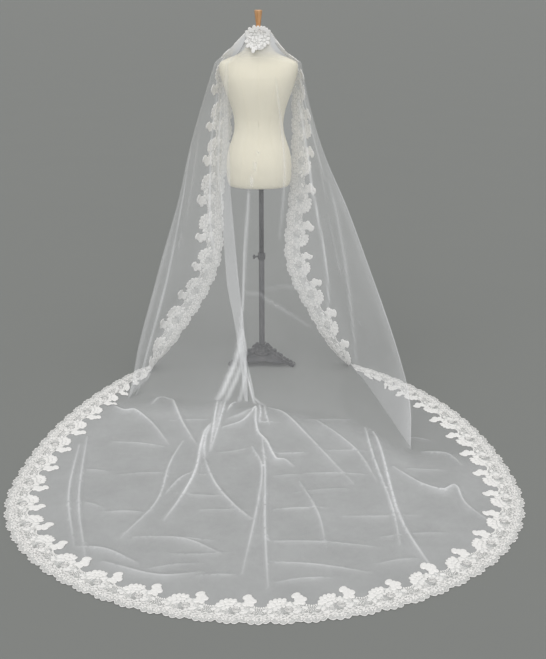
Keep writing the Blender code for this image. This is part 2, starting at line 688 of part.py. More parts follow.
def train_lace(finish):
    """Lace round the train on the floor, in a left and a right half."""
    landing = section(len(LEVELS) - 1)[0]
    gap = SEAM_GAP / BORDER_LENGTH[-1]
    for left, name in ((True, "lace_train_left"), (False, "lace_train_right")):
        low, high, stations = border_half(left)
        if not left:
            low = low + gap
        tucked = 0.0 if left else 1.0

        def place(part_along, part, low=low, high=high, tucked=tucked):
            here, inward = border_at(low + (high - low) * part_along)
            place_here = here + inward * LACE_BAND * part
            if part_along == tucked:
                place_here = under_foot(place_here)
            return np.array((*place_here, CLOTH_HALF))

        inner_line, shares = [], []
        for share in seam_shares(left):
            along = min(max((share - low) / (high - low), 0.0), 1.0)
            edge, inward = border_at(max(share, low))
            inner = edge + inward * (LACE_BAND - LACE_GAP)
            if along == tucked:
                corner = landing[0 if left else -1][:2]
                inner = under_foot(corner) + unit(edge - corner) * LACE_GAP
            inner_line.append(np.array((*inner, CLOTH_HALF)))
            shares.append(along)
        lace_strip(name, stations, place, inner_line, shares, False, finish)


def ring_points(half, back, front, z, sides, centre_x, power=2.0):
    """Points of a rounded ring whose back and front reach differ."""
    points = []
    for k in range(sides):
        turn = 2.0 * math.pi * k / sides
        c, s = math.cos(turn), math.sin(turn)
        x = half * math.copysign(abs(c) ** (2.0 / power), c)
        deep = front if s > 0.0 else back
        y = deep * math.copysign(abs(s) ** (2.0 / power), s)
        points.append((centre_x + x, y, z))
    return points


def skin(name, rings, finish, smooth_angle=50.0):
    """Closed solid through rings of points, flat at both ends."""
    body = bmesh.new()
    loops = [[body.verts.new(p) for p in ring] for ring in rings]
    for low, high in zip(loops[:-1], loops[1:]):
        for k in range(len(low)):
            n = (k + 1) % len(low)
            body.faces.new((low[k], low[n], high[n], high[k]))
    body.faces.new(loops[0])
    body.faces.new(loops[-1])
    bmesh.ops.recalc_face_normals(body, faces=body.faces)
    mesh = bpy.data.meshes.new(name)
    body.to_mesh(mesh)
    body.free()
    mesh.shade_smooth()
    mesh.set_sharp_from_angle(angle=math.radians(smooth_angle))
    return add_object(name, mesh, finish)


def turned(name, profile, centre_x, sides, finish):
    """Turned piece from a profile of radius and height."""
    rings = [ring_points(r, r, r, z, sides, centre_x) for r, z in reversed(profile)]
    return skin(name, rings, finish)


def dress_form(cloth, wood):
    """Closed torso with its neck, and the turned wooden cap and knob on the neck."""
    rings = [ring_points(r.half, r.back, r.front, r.z, FORM_SIDES, FORM_X,
                         2.0 if r.z > NECK_ROUND_FROM else FORM_POWER) for r in TORSO]
    skin("form_torso", rings, cloth)
    turned("neck_knob", KNOB_PROFILE, FORM_X, ROUND_SIDES, wood)


def stand(iron):
    """Pole in two telescoping tubes, collar with its screw, hub and three legs."""
    low, high = POLE_LOW_RADIUS, POLE_TOP_RADIUS
    collar_top = POLE_JOIN_Z + COLLAR_HEIGHT
    turned("pole_lower", ((low, POLE_JOIN_Z), (low, HUB_TOP + SEAM_GAP)), POLE_X, ROUND_SIDES, iron)
    turned("pole_collar", ((high + COLLAR_PLAY, collar_top), (COLLAR_RADIUS, collar_top - COLLAR_ROUNDING),
                           (COLLAR_RADIUS, POLE_JOIN_Z + COLLAR_ROUNDING), (low, POLE_JOIN_Z + SEAM_GAP)),
           POLE_X, ROUND_SIDES, iron)
    turned("pole_upper", ((high, FORM_BOTTOM - SEAM_GAP), (high, collar_top + SEAM_GAP)),
           POLE_X, ROUND_SIDES, iron)
    clamp_screw(iron, POLE_JOIN_Z + COLLAR_HEIGHT / 2.0)
    hub = turned("stand_base", HUB_PROFILE, POLE_X, ROUND_SIDES, iron)
    for number, angle in enumerate(LEG_ANGLES):
        leg = tripod_leg(f"leg_shape_{number}", angle, iron)
        join = hub.modifiers.new(f"leg_{number}", "BOOLEAN")
        join.operation = "UNION"
        join.solver = "EXACT"
        join.object = leg
        leg.hide_render = True
        leg.display_type = "WIRE"


def clamp_screw(iron, height):
    """Thumb screw that clamps the pole: a short stem with a flat wing head."""
    turn = math.radians(SCREW_ANGLE)
    out = np.array((math.cos(turn), math.sin(turn), 0.0))
    side = np.array((-out[1], out[0], 0.0))
    start = np.array((POLE_X, 0.0, height)) + out * (COLLAR_RADIUS + SEAM_GAP)
    rings = []
    for row in SCREW:
        ring = []
        for k in range(SCREW_SIDES):
            a = 2.0 * math.pi * k / SCREW_SIDES
            offset = side * SCREW_RADIUS * row.wide * math.cos(a)
            offset = offset + np.array((0.0, 0.0, SCREW_RADIUS * row.tall * math.sin(a)))
            ring.append(tuple(start + out * SCREW_LENGTH * row.reach + offset))
        rings.append(ring)
    skin("clamp_screw", rings, iron)


def tripod_leg(name, angle, iron):
    """One cast leg as a swept shape that will be joined to the hub."""
    turn = math.radians(angle)
    out = np.array((math.cos(turn), math.sin(turn), 0.0))
    side = np.array((-out[1], out[0], 0.0))
    rings = []
    for ring in LEG:
        points = []
        for across, up in LEG_SECTION:
            place = out * ring.reach + side * ring.half * across
            points.append((POLE_X + place[0], place[1], ring.low + ring.deep * up))
        rings.append(points)
    return skin(name, rings, iron)


def neck_cluster(finish):
    """Domed lace flower cluster at the back of the neck, just outside the sheet."""
    points, relief, lines = [], [], []
    for part in CLUSTER_RINGS:
        line = []
        for k in range(CLUSTER_SIDES):
            turn = 2.0 * math.pi * k / CLUSTER_SIDES
            lobe = 1.0 - CLUSTER_LOBE_DEPTH * part * (1.0 - abs(math.sin(turn * CLUSTER_LOBES / 2.0)))
            across = CLUSTER_SIZE[0] * part * lobe * math.cos(turn)
            up = CLUSTER_SIZE[1] * part * lobe * math.sin(turn)
            line.append(len(points))
            points.append(cluster_point(across, up))
            relief.append(CLUSTER_RELIEF if part < CLUSTER_EDGE and k % 4 < 3 else CLUSTER_EDGE_RELIEF)
        lines.append(line)
    centre = len(points)
    points.append(cluster_point(0.0, 0.0))
    relief.append(0.0)
    faces = []
    for k in range(CLUSTER_SIDES):
        n = (k + 1) % CLUSTER_SIDES
        faces.append((centre, lines[0][k], lines[0][n]))
        for a, b in zip(lines[:-1], lines[1:]):
            faces.append((a[k], b[k], b[n], a[n]))
    make_wall("lace_neck", points, faces, (FORM_X, 0.0, CLUSTER_CENTRE[1]), finish, relief=relief)


def cluster_point(across, up):
    """Point of the cluster: wrapped round the neck and leaning out towards its foot."""
    radius = CLUSTER_RADIUS + CLUSTER_LEAN * max(0.0, CLUSTER_TOP - up)
    turn = across / CLUSTER_CURVE
    x = CLUSTER_CENTRE[0] + CLUSTER_CURVE * math.sin(turn)
    y = -radius + CLUSTER_CURVE * (1.0 - math.cos(turn))
    return np.array((x, y, CLUSTER_CENTRE[1] + up))


def centre_on_footprint():
    """Move every piece so that the origin is the middle of the whole footprint."""
    bpy.context.view_layer.update()
    depsgraph = bpy.context.evaluated_depsgraph_get()
    low = np.full(3, 1e9)
    high = -low
    for piece in bpy.data.objects:
        if piece.hide_render:
            continue
        shape = piece.evaluated_get(depsgraph).to_mesh()
        corners_here = np.array([v.co for v in shape.vertices])
        low = np.minimum(low, corners_here.min(axis=0))
        high = np.maximum(high, corners_here.max(axis=0))
    shift = Vector((-(low[0] + high[0]) / 2.0, -(low[1] + high[1]) / 2.0, -low[2]))
    for piece in bpy.data.objects:
        piece.location = shift


def main():
    """Build every piece and centre the whole on its footprint."""
    for old in list(bpy.data.objects):
        bpy.data.objects.remove(old, do_unlink=True)
    tulle = material("soft_tulle", (0.90, 0.90, 0.90), 0.6, alpha=0.35)
    lace = material("corded_lace", (0.93, 0.92, 0.90), 0.75)
    hang_tulle(tulle)
    lay_train(tulle)
    hang_lace(lace)
    train_lace(lace)
    neck_cluster(lace)
    dress_form(material("form_linen", (0.80, 0.76, 0.66), 0.8), material("turned_wood", (0.55, 0.28, 0.12), 0.45))
    stand(material("cast_iron", (0.10, 0.10, 0.11), 0.5, metallic=0.6))
    centre_on_footprint()


main()
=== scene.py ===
"""A cathedral mantilla veil on a dress form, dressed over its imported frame.

The veil is one oval of fine soft tulle with a deep corded lace border. It hangs from the neck
and shoulders of a limbless dress form, lands on the floor and spreads into a long train. All
lengths are in metres. The drape is worked out with the stand's pole at x = POLE_X, y = 0, and
every piece is then moved to where the frame has it.
"""

from __future__ import annotations

import logging
import math
from collections.abc import Sequence
from dataclasses import dataclass
from enum import Enum

import bmesh
import bpy
import numpy as np
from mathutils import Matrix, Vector
from mathutils.bvhtree import BVHTree
from mathutils.geometry import delaunay_2d_cdt

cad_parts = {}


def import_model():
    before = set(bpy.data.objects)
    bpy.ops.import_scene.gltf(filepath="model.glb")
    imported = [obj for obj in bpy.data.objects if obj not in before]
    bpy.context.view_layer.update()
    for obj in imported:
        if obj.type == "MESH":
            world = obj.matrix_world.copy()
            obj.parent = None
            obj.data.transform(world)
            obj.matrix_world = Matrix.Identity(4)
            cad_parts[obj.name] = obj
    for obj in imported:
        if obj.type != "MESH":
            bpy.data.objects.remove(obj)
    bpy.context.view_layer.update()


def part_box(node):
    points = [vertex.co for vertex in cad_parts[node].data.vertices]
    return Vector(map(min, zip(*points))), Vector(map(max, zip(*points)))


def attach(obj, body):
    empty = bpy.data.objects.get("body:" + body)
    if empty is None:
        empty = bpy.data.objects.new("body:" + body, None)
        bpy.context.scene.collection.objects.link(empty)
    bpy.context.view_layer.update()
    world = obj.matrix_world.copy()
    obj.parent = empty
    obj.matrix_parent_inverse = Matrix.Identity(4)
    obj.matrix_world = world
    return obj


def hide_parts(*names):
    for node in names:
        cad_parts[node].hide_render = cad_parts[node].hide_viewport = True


LOG = logging.getLogger("veil")

POLE_X = -0.008
FORM_X = -0.018
NECK_RADIUS = 0.0568
NECK_Z = 1.600
LEVEL_Z = (1.470, 1.150, 0.850, 0.500, 0.200)
LEVEL_COUNT = 8
PLEAT_NUMBER = 4
STEEPEST = 1.25
INSIDE_HANGING = np.array((0.0, 0.05, 0.9))


def unit(vector: np.ndarray) -> np.ndarray:
    """Return the vector scaled to length one."""
    length = float(np.linalg.norm(vector))
    return vector / length if length > 0.0 else vector


def spline(points: np.ndarray, t: float) -> np.ndarray:
    """Return the point at t on a Catmull-Rom curve through the points, one unit apart."""
    last = len(points) - 1
    k = min(max(int(t), 0), last - 1)
    f = t - k
    before = points[k - 1] if k > 0 else 2.0 * points[0] - points[1]
    after = points[k + 2] if k + 2 <= last else 2.0 * points[last] - points[last - 1]
    a, b = points[k], points[k + 1]
    slope_a, slope_b = (b - before) / 2.0, (after - a) / 2.0
    most = STEEPEST * float(np.linalg.norm(b - a))
    slope_a, slope_b = (s * min(1.0, most / max(float(np.linalg.norm(s)), 1e-9)) for s in (slope_a, slope_b))
    f2, f3 = f * f, f * f * f
    return ((2 * f3 - 3 * f2 + 1) * a + (f3 - 2 * f2 + f) * slope_a
            + (3 * f2 - 2 * f3) * b + (f3 - f2) * slope_b)


def smooth_line(points: Sequence[Sequence[float]], count: int) -> np.ndarray:
    """Return count points spread evenly in parameter along a spline through the points."""
    line = np.array(points, float)
    return np.array([spline(line, t) for t in np.linspace(0.0, len(line) - 1.0, count)])


def line_distance(points: np.ndarray, line: np.ndarray) -> tuple[np.ndarray, np.ndarray]:
    """Measure many points against one open line.

    Args:
        points: Array of points, one per row.
        line: Array of the line's points, one per row.

    Returns:
        The distance of each point to the line, and how far along it the nearest place is, 0 to 1.
    """
    best = np.full(len(points), 1e9)
    place = np.zeros(len(points))
    spans = len(line) - 1
    for k in range(spans):
        run = line[k + 1] - line[k]
        share = np.clip((points - line[k]) @ run / max(float(run @ run), 1e-12), 0.0, 1.0)
        away = np.linalg.norm(points - line[k] - share[:, None] * run, axis=1)
        nearer = away < best
        best[nearer] = away[nearer]
        place[nearer] = (k + share[nearer]) / spans
    return best, place


# The drape's own numbers


@dataclass(frozen=True)
class FoldLine:
    """One fold line of the hanging sheet.

    Attributes:
        name: What the fold is.
        soft: How far its bend reaches along the sheet.
        bend: Columns in the bend.
        span: Columns in the stretch after the bend.
        neck: Angle round the neck in degrees.
        ridge: Point on the line from neck to shoulder.
        plan: Plan points at shoulder, waist, hip, knee, ankle and floor.
    """

    name: str
    soft: float
    bend: int
    span: int
    neck: float
    ridge: tuple[float, float, float]
    plan: tuple[tuple[float, float], ...]


FOLDS = (
    FoldLine("left_edge", 0.0, 0, 10, 150, (-0.112, 0.045, 1.537),
             ((-0.160, 0.105), (-0.145, 0.120), (-0.187, 0.110), (-0.211, 0.070), (-0.374, 0.000), (-0.597, -0.070))),
    FoldLine("left_front", 0.035, 6, 10, 165, (-0.136, 0.022, 1.537),
             ((-0.214, 0.037), (-0.262, 0.070), (-0.300, 0.060), (-0.345, 0.000), (-0.515, -0.060), (-0.552, -0.215))),
    FoldLine("left_fold", 0.022, 8, 14, 180, (-0.143, 0.000, 1.537),
             ((-0.217, 0.000), (-0.325, -0.060), (-0.402, -0.150), (-0.507, -0.290), (-0.585, -0.400),
              (-0.632, -0.473))),
    FoldLine("left_soft", 0.025, 6, 48, 205, (-0.128, -0.035, 1.535),
             ((-0.213, -0.066), (-0.309, -0.100), (-0.360, -0.190), (-0.412, -0.300), (-0.497, -0.375),
              (-0.572, -0.405))),
    FoldLine("pleat", 0.0032, 2, 3, 226, (-0.094, -0.066, 1.532),
             ((-0.156, -0.096), (-0.153, -0.160), (-0.142, -0.205), (-0.106, -0.325), (-0.072, -0.430),
              (-0.068, -0.505))),
    FoldLine("centre", 0.040, 6, 26, 265, (-0.016, -0.082, 1.530),
             ((-0.018, -0.094), (-0.018, -0.130), (-0.028, -0.178), (-0.046, -0.300), (-0.036, -0.412),
              (-0.020, -0.522))),
    FoldLine("right_line", 0.030, 6, 24, 310, (0.072, -0.052, 1.525),
             ((0.140, -0.058), (0.197, -0.130), (0.236, -0.240), (0.287, -0.400), (0.346, -0.550), (0.368, -0.650))),
    FoldLine("right_fold", 0.030, 8, 16, 345, (0.104, 0.000, 1.517),
             ((0.174, 0.000), (0.264, -0.100), (0.398, -0.280), (0.533, -0.560), (0.627, -0.820), (0.625, -0.990))),
    FoldLine("right_front", 0.035, 6, 10, 368, (0.098, 0.022, 1.520),
             ((0.176, 0.037), (0.222, 0.050), (0.258, 0.020), (0.330, -0.020), (0.425, -0.090), (0.492, -0.255))),
    FoldLine("right_edge", 0.0, 0, 0, 383, (0.076, 0.045, 1.528),
             ((0.128, 0.105), (0.133, 0.120), (0.122, 0.110), (0.107, 0.080), (0.253, 0.030), (0.438, -0.030))),
)


@dataclass(frozen=True)
class DrapeSizes:
    """Sizes of the hanging sheet, one value for each level where a tuple is given."""

    pleat_width: tuple[float, ...] = (0.006, 0.013, 0.020, 0.040, 0.052, 0.058, 0.034, 0.016)
    pleat_depth: tuple[float, ...] = (0.0045, 0.006, 0.010, 0.010, 0.010, 0.010, 0.010, 0.010)
    edge_margin: tuple[float, ...] = (0.008, 0.014, 0.036, 0.050, 0.050, 0.056, 0.075, 0.055)
    pleat_on_neck: float = 1.5
    bend_reach: float = 0.30
    floor_ease: float = 1.5
    lace_share: tuple[float, ...] = (0.20, 0.28, 0.62, 1.0, 1.0, 1.0, 1.0, 1.0)
    pleat_show: tuple[float, ...] = (0.3, 0.3, 0.3, 0.75, 1.3, 1.35, 1.3, 1.1)
    gathered: tuple[float, ...] = (5.0, 3.6, 1.8, 1.0)
    rows: int = 160
    foot_height: float = 0.0012


@dataclass(frozen=True)
class Crease:
    """One crease of the hanging sheet: depth, width, brightness of its painted highlight, and points of fold number and
    level.
    """

    depth: float
    width: float
    bright: float
    points: tuple[tuple[float, float], ...]


HANGING_CREASES = (
    Crease(0.004, 0.010, 0.55, ((5.0, 3.2), (4.95, 4.2), (4.86, 5.04), (4.45, 5.6), (4.2, 6.1))),
    Crease(0.003, 0.008, 0.60, ((4.36, 5.44), (4.6, 5.88), (4.3, 6.2))),
    Crease(0.004, 0.010, 0.50, ((6.0, 2.5), (6.0, 3.6), (6.02, 4.6), (6.0, 5.3))),
    Crease(-0.004, 0.014, 0.24, ((6.75, 3.6), (6.55, 4.3), (6.42, 4.9), (6.32, 5.4), (6.22, 6.0))),
    Crease(0.002, 0.010, 0.16, ((4.88, 5.05), (5.3, 5.25), (5.76, 5.48))),
    Crease(0.002, 0.010, 0.10, ((5.05, 5.02), (5.66, 4.96), (5.95, 4.9))),
    Crease(0.006, 0.024, 0.75, ((3.97, 5.60), (3.90, 6.00), (3.80, 6.40), (3.71, 6.99))),
    Crease(0.004, 0.020, 0.55, ((3.98, 5.80), (3.92, 6.20), (3.84, 6.60), (3.79, 6.99))),
    Crease(0.003, 0.018, 0.50, ((3.99, 6.00), (3.97, 6.40), (3.92, 6.99))),
    Crease(0.004, 0.010, 0.80, ((4.10, 5.95), (4.40, 6.30), (4.70, 6.60), (4.98, 6.99))),
    Crease(0.003, 0.010, 0.60, ((4.20, 5.90), (4.60, 6.25), (4.90, 6.60), (5.02, 6.99))),
    Crease(0.004, 0.012, 0.35, ((2.62, 3.2), (2.86, 4.2), (2.70, 5.2), (2.64, 6.1), (2.68, 6.9))),
    Crease(-0.004, 0.010, 0.40, ((3.4, 2.4), (3.48, 3.5), (3.52, 4.2), (3.66, 4.7))),
    Crease(0.004, 0.010, 0.40, ((7.0, 2.2), (7.0, 3.8), (7.0, 5.4), (7.0, 6.6))),
    Crease(-0.004, 0.012, 0.30, ((5.4, 2.2), (5.5, 3.4), (5.35, 4.4))),
    Crease(-0.003, 0.012, 0.30, ((3.75, 2.2), (3.7, 3.3), (3.8, 4.0))),
    Crease(0.004, 0.012, 0.30, ((7.9, 2.4), (7.75, 3.6), (7.8, 4.8), (7.6, 6.0))),
    Crease(-0.004, 0.012, 0.30, ((1.5, 2.6), (1.4, 3.9), (1.55, 5.0), (1.4, 6.2))),
    Crease(0.003, 0.010, 0.30, ((6.5, 1.6), (6.6, 2.8), (6.55, 3.6))),
)


@dataclass(frozen=True)
class FloorFold:
    """One fold or crease of the train: height, half width, brightness of its painted highlight and plan points."""

    height: float
    width: float
    bright: float
    points: tuple[tuple[float, float], ...]


FLOOR_FOLDS = (
    FloorFold(0.014, 0.013, 0.85, ((-0.207, -0.470), (-0.209, -0.614), (-0.210, -0.751), (-0.212, -0.991))),
    FloorFold(0.014, 0.012, 0.75, ((-0.169, -0.480), (-0.175, -0.571), (-0.186, -0.738), (-0.208, -0.990))),
    FloorFold(0.010, 0.034, 0.45, ((-0.188, -0.480), (-0.190, -0.600), (-0.198, -0.740), (-0.212, -0.900))),
    FloorFold(0.018, 0.015, 0.90, ((-0.224, -0.740), (-0.243, -0.823), (-0.251, -0.949), (-0.257, -1.174),
                                   (-0.296, -1.376), (-0.340, -1.520))),
    FloorFold(0.012, 0.014, 0.75, ((-0.223, -0.760), (-0.235, -0.855), (-0.236, -0.967), (-0.226, -1.067))),
    FloorFold(0.010, 0.030, 0.40, ((-0.238, -0.860), (-0.244, -0.960), (-0.252, -1.100), (-0.262, -1.200))),
    FloorFold(0.012, 0.012, 0.75, ((-0.110, -0.480), (-0.138, -0.530), (-0.158, -0.600))),
    FloorFold(0.012, 0.012, 0.70, ((-0.018, -0.490), (-0.008, -0.614), (-0.013, -0.745))),
    FloorFold(0.012, 0.011, 0.60, ((0.009, -0.490), (0.013, -0.614), (0.032, -0.738))),
    FloorFold(0.020, 0.014, 0.80, ((-0.165, -0.771), (-0.091, -0.722), (-0.052, -0.642), (-0.030, -0.580),
                                   (-0.028, -0.711), (-0.015, -0.836), (0.020, -0.918), (0.060, -1.070),
                                   (0.093, -1.071), (0.124, -1.114))),
    FloorFold(0.016, 0.030, 0.35, ((-0.150, -0.690), (-0.100, -0.660), (-0.060, -0.610), (-0.030, -0.575))),
    FloorFold(0.012, 0.020, 0.40, ((-0.503, -0.520), (-0.468, -0.450), (-0.400, -0.505))),
    FloorFold(0.014, 0.014, 0.50, ((0.025, -0.561), (0.100, -0.640), (0.185, -0.836), (0.356, -1.260))),
    FloorFold(0.018, 0.014, 0.70, ((0.460, -0.640), (0.490, -0.975), (0.505, -1.522), (0.579, -1.866))),
    FloorFold(0.014, 0.012, 0.60, ((0.445, -0.650), (0.453, -1.019), (0.484, -1.452), (0.484, -1.684))),
    FloorFold(0.015, 0.012, 0.60, ((0.002, -0.883), (0.016, -1.147), (0.020, -1.588), (0.032, -1.932))),
    FloorFold(0.014, 0.012, 0.55, ((-0.039, -0.957), (0.004, -1.147), (-0.011, -1.452), (-0.053, -1.861))),
    FloorFold(0.014, 0.013, 0.60, ((-0.243, -1.011), (-0.175, -1.267), (-0.092, -1.438), (-0.020, -1.535))),
    FloorFold(0.016, 0.013, 0.55, ((-0.440, -0.475), (-0.413, -0.500), (-0.345, -0.738), (-0.263, -0.957))),
    FloorFold(0.012, 0.012, 0.50, ((-0.760, -0.930), (-0.720, -1.350), (-0.633, -1.696))),
    FloorFold(0.012, 0.012, 0.45, ((-0.740, -0.860), (-0.676, -1.381), (-0.576, -1.786))),
    FloorFold(0.012, 0.012, 0.50, ((-0.330, -0.902), (-0.364, -1.106), (-0.383, -1.402), (-0.480, -1.640))),
    FloorFold(0.010, 0.011, 0.45, ((-0.260, -1.164), (-0.313, -1.228), (-0.359, -1.344))),
    FloorFold(0.016, 0.012, 0.60, ((0.525, -1.131), (0.613, -1.267), (0.689, -1.321), (0.745, -1.290),
                                   (0.758, -1.417), (0.824, -1.542))),
    FloorFold(0.010, 0.011, 0.45, ((0.660, -1.000), (0.757, -1.020), (0.800, -1.100))),
    FloorFold(0.016, 0.014, 0.60, ((-0.690, -0.535), (-0.620, -0.605), (-0.572, -0.604), (-0.480, -0.738),
                                   (-0.391, -0.921))),
    FloorFold(0.010, 0.012, 0.40, ((-0.620, -1.700), (-0.520, -1.720), (-0.400, -1.800))),
    FloorFold(0.010, 0.012, 0.40, ((-0.360, -1.640), (-0.250, -1.660), (-0.130, -1.740))),
    FloorFold(0.010, 0.012, 0.40, ((-0.520, -1.790), (-0.330, -1.870), (-0.180, -1.850))),
    FloorFold(0.012, 0.012, 0.45, ((0.240, -0.700), (0.330, -0.860), (0.400, -1.020), (0.450, -1.250))),
    FloorFold(0.010, 0.012, 0.35, ((0.150, -1.250), (0.210, -1.480), (0.230, -1.700))),
)


@dataclass(frozen=True)
class PressCrease:
    """One short faint crease that runs across the train: its ends, its bow and the brightness of its painted highlight.
    """

    left: tuple[float, float]
    right: tuple[float, float]
    bow: float
    bright: float

    def as_fold(self) -> FloorFold:
        """Return the crease as a low floor fold."""
        middle = ((self.left[0] + self.right[0]) / 2.0, (self.left[1] + self.right[1]) / 2.0 + self.bow)
        return FloorFold(0.005, 0.010, self.bright, (self.left, middle, self.right))


PRESS_CREASES = (
    PressCrease((-0.40, -0.700), (-0.22, -0.690), 0.004, 0.22), PressCrease((-0.02, -0.715), (0.06, -0.715), 0.0, 0.40),
    PressCrease((0.20, -0.690), (0.48, -0.700), 0.006, 0.16), PressCrease((-0.62, -0.905), (-0.40, -0.950), 0.008, 0.30),
    PressCrease((-0.18, -1.005), (-0.05, -0.960), -0.012, 0.24), PressCrease((0.04, -1.010), (0.19, -1.000), -0.006, 0.40),
    PressCrease((0.26, -0.985), (0.46, -0.995), 0.004, 0.20), PressCrease((-0.55, -1.190), (-0.34, -1.175), 0.006, 0.22),
    PressCrease((-0.30, -1.185), (-0.17, -1.190), -0.004, 0.26), PressCrease((0.06, -1.200), (0.16, -1.190), 0.0, 0.18),
    PressCrease((0.18, -1.180), (0.42, -1.190), 0.006, 0.30), PressCrease((-0.34, -1.330), (-0.12, -1.355), -0.010, 0.22),
    PressCrease((0.14, -1.330), (0.34, -1.300), 0.006, 0.18), PressCrease((-0.56, -1.470), (-0.40, -1.480), 0.008, 0.24),
    PressCrease((-0.22, -1.455), (-0.02, -1.460), 0.0, 0.20), PressCrease((0.05, -1.455), (0.24, -1.440), 0.004, 0.34),
    PressCrease((0.30, -1.500), (0.58, -1.490), -0.008, 0.22), PressCrease((-0.44, -1.640), (-0.16, -1.660), 0.010, 0.30),
    PressCrease((0.04, -1.665), (0.40, -1.700), 0.012, 0.34), PressCrease((0.42, -1.640), (0.66, -1.610), 0.006, 0.24),
    PressCrease((-0.30, -1.745), (-0.10, -1.735), -0.006, 0.20), PressCrease((0.04, -1.790), (0.36, -1.850), 0.012, 0.40),
    PressCrease((-0.36, -1.830), (-0.20, -1.800), 0.006, 0.24), PressCrease((-0.20, -1.870), (-0.06, -1.865), 0.004, 0.24),
    PressCrease((0.06, -1.905), (0.24, -1.880), 0.008, 0.30), PressCrease((0.40, -1.800), (0.54, -1.770), 0.006, 0.24),
    PressCrease((-0.70, -1.150), (-0.60, -1.165), 0.004, 0.20), PressCrease((0.58, -1.140), (0.72, -1.150), -0.006, 0.20),
    PressCrease((-0.66, -1.400), (-0.58, -1.440), 0.004, 0.22), PressCrease((0.60, -0.860), (0.72, -0.900), 0.008, 0.22),
)


@dataclass(frozen=True)
class TrainSizes:
    """Sizes of the train: its egg outline of two half ellipses and its mesh spacing."""

    centre: tuple[float, float] = (0.018, -1.287)
    half_width: float = 0.977
    front: float = 0.837
    back: float = 1.522
    start: float = 126.9
    end: float = 415.7
    blend: float = 0.35
    samples: int = 1440
    split: float = 0.49
    grid_step: float = 0.026
    crest_step: float = 0.014
    crest_sides: tuple[float, ...] = (0.0, 0.5, -0.5, 1.1, -1.1, 2.0, -2.0)
    under_lace: float = 0.060
    end_turn: float = 0.30


@dataclass(frozen=True)
class SheetCut:
    """The flat cut of one sheet: its width, its length and the area inside its outline."""

    width: float
    length: float
    area: float

    @property
    def flat(self) -> tuple[float, float]:
        """Width and length together."""
        return self.width, self.length


@dataclass(frozen=True)
class LaceSizes:
    """Sizes of the lace band and of one repeat of its flowers."""

    repeat: float = 0.176
    scallop_depth: float = 0.011
    small_scallops: int = 7
    small_depth: float = 0.0085
    columns_per_repeat: int = 72
    ground_rows: int = 16
    lift: float = 0.0012
    cord: float = 0.0016
    reach: float = 0.168
    march_step: float = 0.014


@dataclass(frozen=True)
class FormRing:
    """One level of the dress form: height, half width, reach to the back and to the front."""

    z: float
    half: float
    back: float
    front: float


FORM_RINGS = tuple(FormRing(*row) for row in (
    (0.9055, 0.1300, 0.092, 0.082), (0.912, 0.1430, 0.104, 0.092), (0.941, 0.1510, 0.111, 0.098),
    (0.985, 0.1530, 0.113, 0.101), (1.027, 0.1510, 0.110, 0.101), (1.074, 0.1430, 0.100, 0.096),
    (1.120, 0.1270, 0.088, 0.090), (1.165, 0.1150, 0.080, 0.087), (1.213, 0.1140, 0.078, 0.087),
    (1.260, 0.1230, 0.084, 0.097), (1.313, 0.1410, 0.092, 0.117), (1.360, 0.1580, 0.096, 0.124),
    (1.405, 0.1720, 0.094, 0.112), (1.440, 0.1800, 0.085, 0.092), (1.462, 0.1790, 0.077, 0.078),
    (1.476, 0.1680, 0.072, 0.069), (1.490, 0.1380, 0.068, 0.064), (1.506, 0.0980, 0.064, 0.060),
    (1.522, 0.0720, 0.060, 0.057), (1.545, 0.0580, 0.0560, 0.0555), (1.566, 0.0545, 0.0545, 0.0545),
    (1.606, 0.0545, 0.0545, 0.0545), (1.6115, 0.0500, 0.0500, 0.0500)))


# Finishes


class Cloth(Enum):
    """Kinds of surface that have their own node recipe."""

    TULLE = "tulle"
    NET = "net"
    CORD = "cord"
    LINEN = "linen"
    WOOD = "wood"
    IRON = "iron"
    FLOOR = "floor"


@dataclass(frozen=True)
class Finish:
    """Colours and surface values of one material."""

    kind: Cloth
    name: str
    color: tuple[float, float, float]
    second: tuple[float, float, float]
    roughness: float
    metallic: float = 0.0
    sheen: float = 0.0


